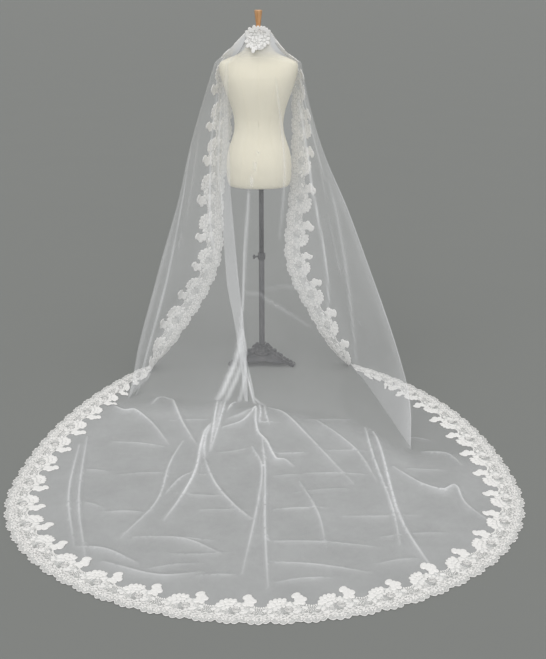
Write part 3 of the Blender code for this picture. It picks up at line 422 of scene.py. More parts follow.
class Finishes:
    """Builds each material once and hands it out by kind."""

    CHART = (
        Finish(Cloth.TULLE, "soft_white_tulle", (0.93, 0.94, 0.95), (0.85, 0.86, 0.87), 0.75),
        Finish(Cloth.NET, "lace_ground", (0.90, 0.90, 0.88), (0.80, 0.80, 0.78), 0.85),
        Finish(Cloth.CORD, "corded_lace_flowers", (0.93, 0.92, 0.90), (0.82, 0.81, 0.79), 0.8, sheen=0.15),
        Finish(Cloth.LINEN, "cream_form_cover", (0.93, 0.88, 0.72), (0.88, 0.83, 0.67), 0.9, sheen=0.1),
        Finish(Cloth.WOOD, "varnished_beech", (0.70, 0.40, 0.19), (0.54, 0.28, 0.12), 0.38),
        Finish(Cloth.IRON, "dark_cast_iron", (0.036, 0.036, 0.040), (0.070, 0.067, 0.070), 0.5, metallic=0.3),
        Finish(Cloth.FLOOR, "pale_studio_floor", (0.228, 0.236, 0.225), (0.222, 0.230, 0.220), 0.95),
    )

    def __init__(self) -> None:
        """Make every material on the chart."""
        self.made = {finish.kind: self._make(finish) for finish in self.CHART}

    def __getitem__(self, kind: Cloth) -> bpy.types.Material:
        """Return the material of one kind."""
        return self.made[kind]

    def _make(self, finish: Finish) -> bpy.types.Material:
        """Build the nodes of one finish."""
        material = bpy.data.materials.new(finish.name)
        material.use_nodes = True
        nodes = NodeDesk(material)
        shader = nodes.shader
        shader.inputs["Roughness"].default_value = finish.roughness
        shader.inputs["Metallic"].default_value = finish.metallic
        shader.inputs["Sheen Weight"].default_value = finish.sheen
        recipe = getattr(self, f"_{finish.kind.value}")
        recipe(nodes, finish)
        return material

    def _tulle(self, nodes: NodeDesk, finish: Finish) -> None:
        """Fine net: how dense it is comes from the sheet's own value, with painted highlights along its creases and
        folds added in.
        """
        mesh = nodes.voronoi(620.0, "DISTANCE_TO_EDGE")
        threads = nodes.ramp(mesh, ((0.05, 1.25), (0.45, 0.80)))
        cloud = nodes.ramp(nodes.noise(5.0, 3.0), ((0.3, 0.90), (0.7, 1.10)))
        # The stored value is the net's real denseness plus painted highlight along creases and folds.
        density_and_highlight = nodes.attribute("net_density_and_highlight")
        alpha = nodes.math("MULTIPLY", density_and_highlight, nodes.math("MULTIPLY", threads, cloud))
        nodes.link(alpha, nodes.shader.inputs["Alpha"])
        nodes.mix_color(nodes.noise(40.0, 2.0), finish.second, finish.color)

    def _net(self, nodes: NodeDesk, finish: Finish) -> None:
        """Lace ground: close stitches, or open net where the sheet's open value is high."""
        cells = nodes.voronoi(270.0, "DISTANCE_TO_EDGE")
        close = nodes.ramp(cells, ((0.10, 1.0), (0.30, 0.55)))
        net = nodes.ramp(nodes.voronoi(330.0, "DISTANCE_TO_EDGE"), ((0.03, 0.75), (0.12, 0.18)))
        alpha = nodes.blend(nodes.attribute("net_open"), close, net)
        nodes.link(alpha, nodes.shader.inputs["Alpha"])
        nodes.mix_color(cells, finish.color, finish.second)
        nodes.bump(cells, -0.5, 0.001)

    def _cord(self, nodes: NodeDesk, finish: Finish) -> None:
        """Stitched flowers: satin threads, darker towards the cell edges as painted shade for small pits between them.
        """
        cells = nodes.voronoi(420.0, "F1")
        nodes.mix_color(nodes.ramp(cells, ((0.2, 0.0), (0.9, 1.0))), finish.color, finish.second)
        nodes.bump(cells, 0.5, 0.0008)

    def _linen(self, nodes: NodeDesk, finish: Finish) -> None:
        """Close woven cover with a faint mottle."""
        warp = nodes.wave(260.0, "X")
        weft = nodes.wave(260.0, "Z")
        weave = nodes.math("ADD", warp, weft)
        nodes.mix_color(nodes.noise(9.0, 4.0), finish.second, finish.color)
        nodes.bump(weave, 0.25, 0.0006)

    def _wood(self, nodes: NodeDesk, finish: Finish) -> None:
        """Straight grain along the turning, under varnish."""
        grain = nodes.noise(14.0, 4.0, stretch=(9.0, 9.0, 0.8))
        nodes.mix_color(nodes.ramp(grain, ((0.35, 0.0), (0.65, 1.0))), finish.second, finish.color)
        nodes.bump(grain, 0.15, 0.0005)
        nodes.shader.inputs["Coat Weight"].default_value = 0.35
        nodes.shader.inputs["Coat Roughness"].default_value = 0.25

    def _iron(self, nodes: NodeDesk, finish: Finish) -> None:
        """Sand cast skin with worn lighter patches."""
        skin = nodes.noise(160.0, 3.0)
        worn = nodes.ramp(nodes.noise(22.0, 5.0), ((0.45, 0.0), (0.75, 1.0)))
        nodes.mix_color(worn, finish.color, finish.second)
        nodes.bump(skin, 0.35, 0.0008)
        rough = nodes.ramp(worn, ((0.0, finish.roughness + 0.1), (1.0, finish.roughness - 0.12)))
        nodes.link(rough, nodes.shader.inputs["Roughness"])

    def _floor(self, nodes: NodeDesk, finish: Finish) -> None:
        """Plain floor with the slightest mottle."""
        nodes.mix_color(nodes.noise(1.2, 2.0), finish.second, finish.color)


class NodeDesk:
    """Small helper that adds and links shader nodes in one material."""

    def __init__(self, material: bpy.types.Material) -> None:
        """Take hold of the material's node tree.

        Args:
            material: Material with its default nodes.
        """
        self.tree = material.node_tree
        self.shader = self.tree.nodes["Principled BSDF"]
        self.place = self.tree.nodes.new("ShaderNodeTexCoord").outputs["Object"]

    def link(self, source: bpy.types.NodeSocket, target: bpy.types.NodeSocket) -> None:
        """Link one socket to another."""
        self.tree.links.new(source, target)

    def attribute(self, name: str) -> bpy.types.NodeSocket:
        """Read a number stored on the mesh."""
        node = self.tree.nodes.new("ShaderNodeAttribute")
        node.attribute_name = name
        return node.outputs["Fac"]

    def voronoi(self, scale: float, feature: str) -> bpy.types.NodeSocket:
        """Cells of a given number per metre."""
        node = self.tree.nodes.new("ShaderNodeTexVoronoi")
        node.feature = feature
        node.inputs["Scale"].default_value = scale
        self.link(self.place, node.inputs["Vector"])
        return node.outputs["Distance"]

    def noise(self, scale: float, detail: float, stretch: Sequence[float] | None = None) -> bpy.types.NodeSocket:
        """Cloudy noise, stretched along an axis if asked."""
        node = self.tree.nodes.new("ShaderNodeTexNoise")
        node.inputs["Scale"].default_value = scale
        node.inputs["Detail"].default_value = detail
        source = self.place
        if stretch is not None:
            mapping = self.tree.nodes.new("ShaderNodeMapping")
            mapping.inputs["Scale"].default_value = stretch
            self.link(self.place, mapping.inputs["Vector"])
            source = mapping.outputs["Vector"]
        self.link(source, node.inputs["Vector"])
        return node.outputs["Fac"]

    def wave(self, scale: float, direction: str) -> bpy.types.NodeSocket:
        """Even bands across one axis."""
        node = self.tree.nodes.new("ShaderNodeTexWave")
        node.bands_direction = direction
        node.inputs["Scale"].default_value = scale
        self.link(self.place, node.inputs["Vector"])
        return node.outputs["Fac"]

    def ramp(self, value: bpy.types.NodeSocket, stops: Sequence[tuple[float, float]]) -> bpy.types.NodeSocket:
        """Map a value from between two stops to between their outputs."""
        node = self.tree.nodes.new("ShaderNodeMapRange")
        (low, low_out), (high, high_out) = stops
        for name, number in (("From Min", low), ("From Max", high), ("To Min", low_out), ("To Max", high_out)):
            node.inputs[name].default_value = number
        self.link(value, node.inputs["Value"])
        return node.outputs["Result"]

    def math(self, action: str, first: bpy.types.NodeSocket, second: bpy.types.NodeSocket) -> bpy.types.NodeSocket:
        """Combine two values."""
        node = self.tree.nodes.new("ShaderNodeMath")
        node.operation = action
        self.link(first, node.inputs[0])
        self.link(second, node.inputs[1])
        return node.outputs[0]

    def blend(self, share: bpy.types.NodeSocket, low: bpy.types.NodeSocket,
              high: bpy.types.NodeSocket) -> bpy.types.NodeSocket:
        """Mix two values by a share."""
        node = self.tree.nodes.new("ShaderNodeMix")
        self.link(share, node.inputs["Factor"])
        self.link(low, node.inputs["A"])
        self.link(high, node.inputs["B"])
        return node.outputs["Result"]

    def mix_color(self, share: bpy.types.NodeSocket, first: Sequence[float], second: Sequence[float]) -> None:
        """Mix two colours by a share into the base colour."""
        node = self.tree.nodes.new("ShaderNodeMix")
        node.data_type = "RGBA"
        self.link(share, node.inputs["Factor"])
        node.inputs[6].default_value = (*first, 1.0)
        node.inputs[7].default_value = (*second, 1.0)
        self.link(node.outputs[2], self.shader.inputs["Base Color"])

    def bump(self, height: bpy.types.NodeSocket, strength: float, distance: float) -> None:
        """Raise the surface by a height value."""
        node = self.tree.nodes.new("ShaderNodeBump")
        node.inputs["Strength"].default_value = abs(strength)
        node.inputs["Distance"].default_value = distance
        node.invert = strength < 0.0
        self.link(height, node.inputs["Height"])
        self.link(node.outputs["Normal"], self.shader.inputs["Normal"])


# Making meshes


class Workbench:
    """Turns bmesh work into finished pieces in the frame's own place."""

    def __init__(self, finishes: Finishes, shift: np.ndarray) -> None:
        """Keep the finishes and the move from the drape's place to the frame's.

        Args:
            finishes: Materials by kind.
            shift: Added to every point.
        """
        self.finishes = finishes
        self.shift = shift

    def piece(self, name: str, body: bmesh.types.BMesh, kinds: Sequence[Cloth], smooth: bool = True) -> bpy.types.Object:
        """Make an object of a finished bmesh and free it."""
        bmesh.ops.translate(body, verts=body.verts, vec=Vector(self.shift))
        mesh = bpy.data.meshes.new(name)
        body.to_mesh(mesh)
        body.free()
        for kind in kinds:
            mesh.materials.append(self.finishes[kind])
        if smooth:
            mesh.shade_smooth()
        made = bpy.data.objects.new(name, mesh)
        bpy.context.scene.collection.objects.link(made)
        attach(made, "root")
        LOG.info("%s has %d faces", name, len(mesh.polygons))
        return made


def weave_grid(body: bmesh.types.BMesh, points: np.ndarray, wrap: bool = False) -> list[bmesh.types.BMVert]:
    """Add a grid of faces through rows of points.

    Args:
        body: Mesh to add to.
        points: Array of rows by columns by three.
        wrap: Whether the last column joins the first.

    Returns:
        The new vertices, row by row.
    """
    rows, columns = points.shape[:2]
    made = bmesh.ops.create_grid(body, x_segments=columns - 1, y_segments=rows - 1, size=1.0)["verts"]
    made.sort(key=lambda v: (round(v.co.y, 5), round(v.co.x, 5)))
    for vert, place in zip(made, points.reshape(-1, 3)):
        vert.co = place
    if wrap:
        bmesh.ops.remove_doubles(body, verts=made[0::columns] + made[columns - 1::columns], dist=1e-7)
        made = [v for v in made if v.is_valid]
    return made


def loft(body: bmesh.types.BMesh, rings: Sequence[np.ndarray], capped: bool = True) -> None:
    """Add a closed skin through rings of points, with its ends filled."""
    rows = np.array([np.vstack((ring, ring[:1])) for ring in rings])
    before = set(body.verts)
    weave_grid(body, rows, wrap=True)
    if capped:
        fresh = [e for e in body.edges if e.is_boundary and e.verts[0] not in before]
        bmesh.ops.holes_fill(body, edges=fresh, sides=0)
    new_faces = [f for f in body.faces if f.verts[0] not in before]
    bmesh.ops.recalc_face_normals(body, faces=new_faces)


def ring_round(centre: Sequence[float], along: np.ndarray, radius: float, sides: int,
               wide: float = 1.0, up: Sequence[float] = (0.0, 0.0, 1.0)) -> np.ndarray:
    """Points of a ring square to a direction, wide times as wide as it is tall."""
    along = unit(np.asarray(along, float))
    side = np.cross(along, up)
    if np.linalg.norm(side) < 1e-4:
        side = np.array((1.0, 0.0, 0.0))
    side = unit(side)
    over = np.cross(side, along)
    turns = np.arange(sides) * 2.0 * math.pi / sides
    return (np.asarray(centre, float) + np.outer(np.cos(turns), side) * radius * wide
            + np.outer(np.sin(turns), over) * radius)


def tube(body: bmesh.types.BMesh, path: np.ndarray, radii: Sequence[float] | float, sides: int = 8,
         wide: float = 1.0) -> None:
    """Add a round bar along a path, with one radius or one for each point."""
    slopes = np.gradient(path, axis=0)
    sizes = np.full(len(path), radii) if np.isscalar(radii) else np.asarray(radii)
    loft(body, [ring_round(p, s, r, sides, wide) for p, s, r in zip(path, slopes, sizes)])


def turned(body: bmesh.types.BMesh, profile: Sequence[tuple[float, float]], centre_x: float, sides: int) -> None:
    """Add a turned shape from a profile of radius and height, top to bottom."""
    turns = np.arange(sides) * 2.0 * math.pi / sides
    rings = [np.stack((centre_x + r * np.cos(turns), r * np.sin(turns), np.full(sides, z)), axis=1)
             for r, z in profile]
    loft(body, rings)


# The hanging sheet


class Drape:
    """The sheet's shape from neck to floor, in levels and columns.

    It is pulled straight from the neck to the shoulder, where it turns a corner and falls.
    """

    CORNER = 2
    BEND_MARKS = 0.03

    def __init__(self, sizes: DrapeSizes) -> None:
        """Work out the fold lines.

        Args:
            sizes: Pleat, margins and row count.
        """
        self.sizes = sizes
        self.lines = {fold.name: self._levels(fold) for fold in FOLDS}

    @staticmethod
    def _levels(fold: FoldLine) -> np.ndarray:
        """Return the eight points of a fold line."""
        turn = math.radians(fold.neck)
        points = [(FORM_X + NECK_RADIUS * math.cos(turn), NECK_RADIUS * math.sin(turn), NECK_Z), fold.ridge]
        points.extend((*plan, z) for plan, z in zip(fold.plan, (*LEVEL_Z, 0.0)))
        return np.array(points)

    def point(self, name: str, t: float) -> np.ndarray:
        """Return the point of a fold line at level t, its foot eased on to the floor."""
        line = self.lines[name]
        place = spline(line[:self.CORNER + 1], t) if t < self.CORNER else spline(line[self.CORNER:], t - self.CORNER)
        last = LEVEL_COUNT - 1
        if t > last - 1:
            place[2] = LEVEL_Z[-1] * (last - t) ** self.sizes.floor_ease
        place[2] += self.sizes.foot_height
        return place

    @staticmethod
    def at_level(values: Sequence[float], t: float) -> float:
        """Return a value given at each level, in between levels."""
        return float(np.interp(t, range(len(values)), values))

    def _corners(self, t: float) -> list[tuple[FoldLine, float, np.ndarray]]:
        """Return the corners at t with the pleat opened into its four bends."""
        found: list[tuple[FoldLine, float, np.ndarray]] = []
        for number, fold in enumerate(FOLDS):
            place = self.point(fold.name, t)
            if fold.name != "pleat":
                found.append((fold, float(number), place))
                continue
            run = unit((place - found[-1][2])[:2])
            away = np.array((-run[1], run[0], 0.0))
            along = np.array((run[0], run[1], 0.0))
            depth = self.at_level(self.sizes.pleat_depth, t)
            place = place - away * 2.0 * depth * max(0.0, 1.0 - t / self.sizes.pleat_on_neck)
            back = place + away * depth
            inner = back - along * self.at_level(self.sizes.pleat_width, t)
            under = inner + away * depth
            last = FoldLine("pleat_end", fold.soft, fold.bend, 16, 0.0, fold.ridge, fold.plan)
            found.extend(((fold, 4.0, place), (fold, 4.001, back), (fold, 4.002, inner), (last, 4.003, under)))
        return found

    def section(self, t: float, margin: bool = True) -> tuple[np.ndarray, np.ndarray]:
        """Return the sheet's points at t and their fold numbers.

        Args:
            t: Level, 0 at the neck and 7 on the floor.
            margin: Whether the sheet stops short of its free edges, under the lace.
        """
        chain = self._corners(t)
        places = [p for _, _, p in chain]
        numbers = [n for _, n, _ in chain]
        if margin:
            for end, nxt in ((0, 1), (-1, -2)):
                gap = float(np.linalg.norm(places[nxt] - places[end]))
                part = min(self.at_level(self.sizes.edge_margin, t) / gap, 0.8)
                places[end] = places[end] + (places[nxt] - places[end]) * part
        points, marks = [places[0]], [numbers[0]]
        for k in range(1, len(chain)):
            fold = chain[k][0]
            inward = places[k - 1] - places[k]
            reach = min(fold.soft, self.sizes.bend_reach * float(np.linalg.norm(inward)))
            start = places[k] + unit(inward) * reach
            first, first_mark = points[-1], marks[-1]
            steps = chain[k - 1][0].span
            half = 0.0 if fold.bend == 0 or int(numbers[k]) == PLEAT_NUMBER else self.BEND_MARKS
            for j in range(1, steps + 1):
                points.append(first + (start - first) * j / steps)
                marks.append(first_mark + (numbers[k] - half - first_mark) * j / steps)
            if fold.bend == 0:
                continue
            outward = places[k + 1] - places[k]
            reach = min(fold.soft, self.sizes.bend_reach * float(np.linalg.norm(outward)))
            end_point = places[k] + unit(outward) * reach
            for j in range(1, fold.bend + 1):
                f = j / fold.bend
                points.append((1 - f) ** 2 * start + 2 * f * (1 - f) * places[k] + f * f * end_point)
                marks.append(numbers[k] + half * (2.0 * f - 1.0))
        return self._off_the_neck(np.array(points)), np.array(marks)

    @staticmethod
    def _off_the_neck(points: np.ndarray) -> np.ndarray:
        """Push points of the sheet out until they clear the neck."""
        axis = np.array((FORM_X, 0.0))
        away = points[:, :2] - axis
        length = np.linalg.norm(away, axis=1)
        near = (length < NECK_RADIUS) & (points[:, 2] > 1.54)
        points[near, :2] = axis + away[near] / length[near, None] * NECK_RADIUS
        return points

    def grid(self, rows: int, margin: bool) -> tuple[np.ndarray, np.ndarray, np.ndarray]:
        """Return the sheet's grid of points, fold numbers and levels."""
        levels = np.linspace(0.0, LEVEL_COUNT - 1.0, rows)
        made = [self.section(t, margin) for t in levels]
        points = np.array([p for p, _ in made])
        marks = np.array([m for _, m in made])
        return points, marks, np.repeat(levels[:, None], points.shape[1], axis=1)

    def free_edge(self, left: bool, count: int) -> np.ndarray:
        """Return evenly spaced points down a free edge, and the level of each as a fourth value."""
        name = "left_edge" if left else "right_edge"
        levels = np.linspace(0.0, LEVEL_COUNT - 1.0, 400)
        line = np.array([self.point(name, t) for t in levels])
        walked = np.concatenate(((0.0,), np.cumsum(np.linalg.norm(np.diff(line, axis=0), axis=1))))
        even = np.linspace(0.0, walked[-1], count)
        return np.stack([np.interp(even, walked, column) for column in (*line.T, levels)], axis=1)


class Train:
    """The part of the sheet that lies on the floor."""

    def __init__(self, sizes: TrainSizes, drape: Drape) -> None:
        """Lay out the border and the landing line.

        Args:
            sizes: Outline and spacing.
            drape: The hanging sheet that the train joins.
        """
        self.sizes = sizes
        self.drape = drape
        self.folds = FLOOR_FOLDS + tuple(crease.as_fold() for crease in PRESS_CREASES)
        angles = np.radians(np.linspace(sizes.start, sizes.end, sizes.samples))
        deep = np.where(np.sin(angles) > 0.0, sizes.back, sizes.front)
        line = np.stack((sizes.centre[0] + sizes.half_width * np.cos(angles),
                         sizes.centre[1] + deep * np.sin(angles)), axis=1)
        walked = self._walk(line)
        left = np.array(FOLDS[0].plan[-1]) - line[0]
        right = np.array(FOLDS[-1].plan[-1]) - line[-1]
        line += left * np.exp(-walked / sizes.blend)[:, None]
        line += right * np.exp(-(walked[-1] - walked) / sizes.blend)[:, None]
        self.line = line
        self.walked = self._walk(line)
        foot = drape.section(LEVEL_COUNT - 1.0)[0][:, :2]
        self.ends = (unit(foot[0] - line[0]), unit(foot[-1] - line[-1]))

    @staticmethod
    def _walk(line: np.ndarray) -> np.ndarray:
        """Return the length walked at each point of a line."""
        return np.concatenate(((0.0,), np.cumsum(np.linalg.norm(np.diff(line, axis=0), axis=1))))

    @property
    def length(self) -> float:
        """Length of the border."""
        return float(self.walked[-1])

    def border(self, along: np.ndarray) -> tuple[np.ndarray, np.ndarray]:
        """Return border points at lengths along it, and the direction into the train at each."""
        here = np.stack([np.interp(along, self.walked, self.line[:, k]) for k in (0, 1)], axis=1)
        ahead = np.stack([np.interp(along + 0.01, self.walked, self.line[:, k])
                          - np.interp(along - 0.01, self.walked, self.line[:, k]) for k in (0, 1)], axis=1)
        inward = np.stack((-ahead[:, 1], ahead[:, 0]), axis=1)
        inward /= np.linalg.norm(inward, axis=1)[:, None]
        for near, end in ((along, self.ends[0]), (self.length - along, self.ends[1])):
            share = np.exp(-(near / self.sizes.end_turn) ** 2)[:, None]
            inward = inward * (1.0 - share) + end * share
        return here, inward / np.linalg.norm(inward, axis=1)[:, None]

    def _landing(self) -> np.ndarray:
        """Return the foot of the hanging sheet without the pleat's doubled back."""
        points, marks = self.drape.section(LEVEL_COUNT - 1.0)
        keep = (marks <= 4.0) | (marks >= 4.06)
        return points[keep, :2]

    def folds_at(self, points: np.ndarray) -> tuple[np.ndarray, np.ndarray]:
        """Return the height of the train's folds and the brightness of their painted highlight at plan points."""
        height = np.zeros(len(points))
        bright = np.zeros(len(points))
        for fold in self.folds:
            line = smooth_line(fold.points, 8 * len(fold.points))
            away, place = line_distance(points, line)
            taper = np.sin(math.pi * np.clip(0.10 + 0.86 * place, 0.0, 1.0)) ** 0.7
            height = np.maximum(height, fold.height * taper * np.exp(-(away / fold.width) ** 1.5))
            # Painted highlight along each fold's crest, later turned into extra net denseness.
            glow = 0.66 * np.exp(-(away / (0.30 * fold.width)) ** 2) + 0.34 * np.exp(-away / fold.width)
            bright = np.maximum(bright, fold.bright * taper * glow)
        return height, bright

    def lay(self) -> tuple[np.ndarray, list[list[int]], np.ndarray]:
        """Return the points, triangles and painted crease highlight of the sheet on the floor."""
        along = np.arange(0.03, self.length - 0.03, 0.022)
        here, inward = self.border(along)
        seam = here + inward * self.sizes.under_lace
        outline = np.vstack((self._landing(), seam[::-1]))[::-1]
        chosen = self._inner_points(outline)
        flat = [Vector(p) for p in np.vstack((outline, chosen))]
        edge = list(range(len(outline)))
        verts, _, faces, _, _, _ = delaunay_2d_cdt(flat, [], [edge], 1, 1e-7)
        plan = np.array([tuple(v) for v in verts])
        height, bright = self.folds_at(plan)
        away, _ = line_distance(plan, np.vstack((outline, outline[:1])))
        fade = np.clip(away / 0.05, 0.0, 1.0)
        points = np.column_stack((plan, self.drape.sizes.foot_height + height * fade))
        return points, faces, bright

    def _inner_points(self, outline: np.ndarray) -> np.ndarray:
        """Choose points inside the outline, close together along the folds."""
        wanted = []
        for side in self.sizes.crest_sides:
            for fold in self.folds:
                line = smooth_line(fold.points, 60)
                walked = self._walk(line)
                even = np.linspace(0.0, walked[-1], max(3, int(walked[-1] / self.sizes.crest_step)))
                path = np.stack([np.interp(even, walked, line[:, k]) for k in (0, 1)], axis=1)
                slope = np.gradient(path, axis=0)
                slope /= np.linalg.norm(slope, axis=1)[:, None]
                wanted.append(path + np.stack((-slope[:, 1], slope[:, 0]), axis=1) * side * fold.width)
        low, high = outline.min(axis=0), outline.max(axis=0)
        step = self.sizes.grid_step
        for row, y in enumerate(np.arange(low[1], high[1], step * 0.866)):
            xs = np.arange(low[0] + (row % 2) * step / 2.0, high[0], step)
            wanted.append(np.stack((xs, np.full(len(xs), y)), axis=1))
        return self._thin_out(np.vstack(wanted), outline)

    @staticmethod
    def _thin_out(points: np.ndarray, outline: np.ndarray) -> np.ndarray:
        """Keep points that lie inside the outline and apart from each other."""
        closed = np.vstack((outline, outline[:1]))
        inside = np.zeros(len(points), bool)
        for a, b in zip(closed[:-1], closed[1:]):
            spans = (a[1] > points[:, 1]) != (b[1] > points[:, 1])
            if a[1] != b[1]:
                cross = a[0] + (b[0] - a[0]) * (points[:, 1] - a[1]) / (b[1] - a[1])
                inside ^= spans & (points[:, 0] < cross)
        points = points[inside]
        away, _ = line_distance(points, closed)
        points = points[away > 0.008]
        cell = 0.0062
        taken: set[tuple[int, int]] = set()
        kept = []
        for point in points:
            key = (round(point[0] / cell), round(point[1] / cell))
            if key in taken:
                continue
            taken.add(key)
            kept.append(point)
        return np.array(kept)


class VeilSheet:
    """Makes the one tulle sheet: the hanging part and the train, joined along the floor."""

    HANGING_DENSITY = 0.125
    FLOOR_DENSITY = 0.31
    FOOT_DENSITY = 0.17
    # Extra net denseness for each unit of painted crease highlight.
    CREASE_HIGHLIGHT_GAIN = 0.62

    def __init__(self, bench: Workbench, drape: Drape, train: Train) -> None:
        """Keep what the sheet is made from.

        Args:
            bench: Makes the object.
            drape: Hanging shape.
            train: Floor shape.
        """
        self.bench = bench
        self.drape = drape
        self.train = train

    def _crease_line(self, crease: Crease, points: np.ndarray, marks: np.ndarray, levels: np.ndarray) -> np.ndarray:
        """Return a crease as a line in space."""
        rows = levels[:, 0]
        line = []
        for number, t in smooth_line(crease.points, 12 * len(crease.points)):
            row = int(np.argmin(np.abs(rows - t)))
            line.append([np.interp(number, marks[row], points[row, :, axis]) for axis in range(3)])
        return np.array(line)

    def _hang(self) -> tuple[np.ndarray, np.ndarray]:
        """Return the creased hanging grid and how dense each point is drawn, painted crease highlights included."""
        points, marks, levels = self.drape.grid(self.drape.sizes.rows, True)
        across = np.gradient(points, axis=1)
        down = np.gradient(points, axis=0)
        normal = np.cross(across, down)
        normal /= np.maximum(np.linalg.norm(normal, axis=2), 1e-9)[..., None]
        moved = points.copy()
        bright = np.zeros(marks.shape)
        calm = np.clip((LEVEL_COUNT - 1.0 - levels) / 0.4, 0.0, 1.0) * np.clip((levels - 1.2) / 0.8, 0.0, 1.0)
        for crease in HANGING_CREASES:
            line = self._crease_line(crease, points, marks, levels)
            away, place = line_distance(points.reshape(-1, 3), line)
            middle = np.mean([p[0] for p in crease.points])
            near = np.abs(marks - middle).reshape(-1) < 1.1
            taper = np.sin(math.pi * np.clip(0.06 + 0.88 * place, 0.0, 1.0)) ** 0.6 * near
            push = crease.depth * taper * np.exp(-(away / crease.width) ** 2)
            moved += normal * (push.reshape(marks.shape) * calm)[..., None]
            # Painted highlight: each crease is drawn brighter by making the net denser along it.
            glow = crease.bright * taper * np.exp(-(away / (0.5 * crease.width)) ** 2)
            bright = np.maximum(bright, glow.reshape(marks.shape))
        wave = 0.0022 * np.sin(marks * 9.0 + levels * 2.1) * np.sin(levels * 3.3 + marks * 4.0)
        moved += normal * (wave * calm)[..., None]
        # Painted highlight along the two side folds, where the sheet turns edge-on.
        for number, strength in ((2.0, 0.10), (7.0, 0.08)):
            bright = np.maximum(bright, strength * np.exp(-((marks - number) / 0.10) ** 2))
        # Near the floor the hanging part is drawn denser, towards the foot's value.
        base = self.HANGING_DENSITY + (self.FOOT_DENSITY - self.HANGING_DENSITY) * np.clip(levels - 5.8, 0.0, 1.0)
        gathers = np.interp(levels, (0.0, 0.9, 1.5, 2.1), self.drape.sizes.gathered)
        base = base * np.where((marks > 6.2) & (levels > 0.5), 1.0 + (gathers - 1.0) * 0.45, gathers)
        show = np.interp(levels, range(LEVEL_COUNT), self.drape.sizes.pleat_show)
        base = np.where(np.abs(marks - 4.002) < 0.004, base * show, base)
        return moved, base + self.CREASE_HIGHLIGHT_GAIN * bright

    def make(self) -> bpy.types.Object:
        hung, density_and_highlight = self._hang()
        body = bmesh.new()
        layer = body.verts.layers.float.new("net_density_and_highlight")
        for vert, value in zip(weave_grid(body, hung), density_and_highlight.reshape(-1)):
            vert[layer] = value
        points, faces, bright = self.train.lay()
        # The floor part is drawn denser, so lighter, the farther it lies from the foot of the hanging part.
        foot_y = np.interp(points[:, 0], (-0.6, -0.07, 0.37, 0.62), (-0.45, -0.50, -0.65, -0.98))
        past_foot = np.clip((foot_y - points[:, 1]) / 0.16, 0.0, 1.0)
        base = self.FOOT_DENSITY + (self.FLOOR_DENSITY - self.FOOT_DENSITY) * past_foot
        laid = []
        # Painted crease highlight is added to the floor part as extra denseness.
        for place, value in zip(points, base + self.CREASE_HIGHLIGHT_GAIN * bright):
            vert = body.verts.new(place)
            vert[layer] = value
            laid.append(vert)
        for face in faces:
            body.faces.new([laid[k] for k in face])
        bmesh.ops.remove_doubles(body, verts=body.verts, dist=2e-4)
        bmesh.ops.recalc_face_normals(body, faces=body.faces)
        made = self.bench.piece("veil_tulle", body, (Cloth.TULLE,))
        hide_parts("tulle_left_fall", "tulle_back_fall", "tulle_right_fall", "tulle_train")
        return made


# The lace


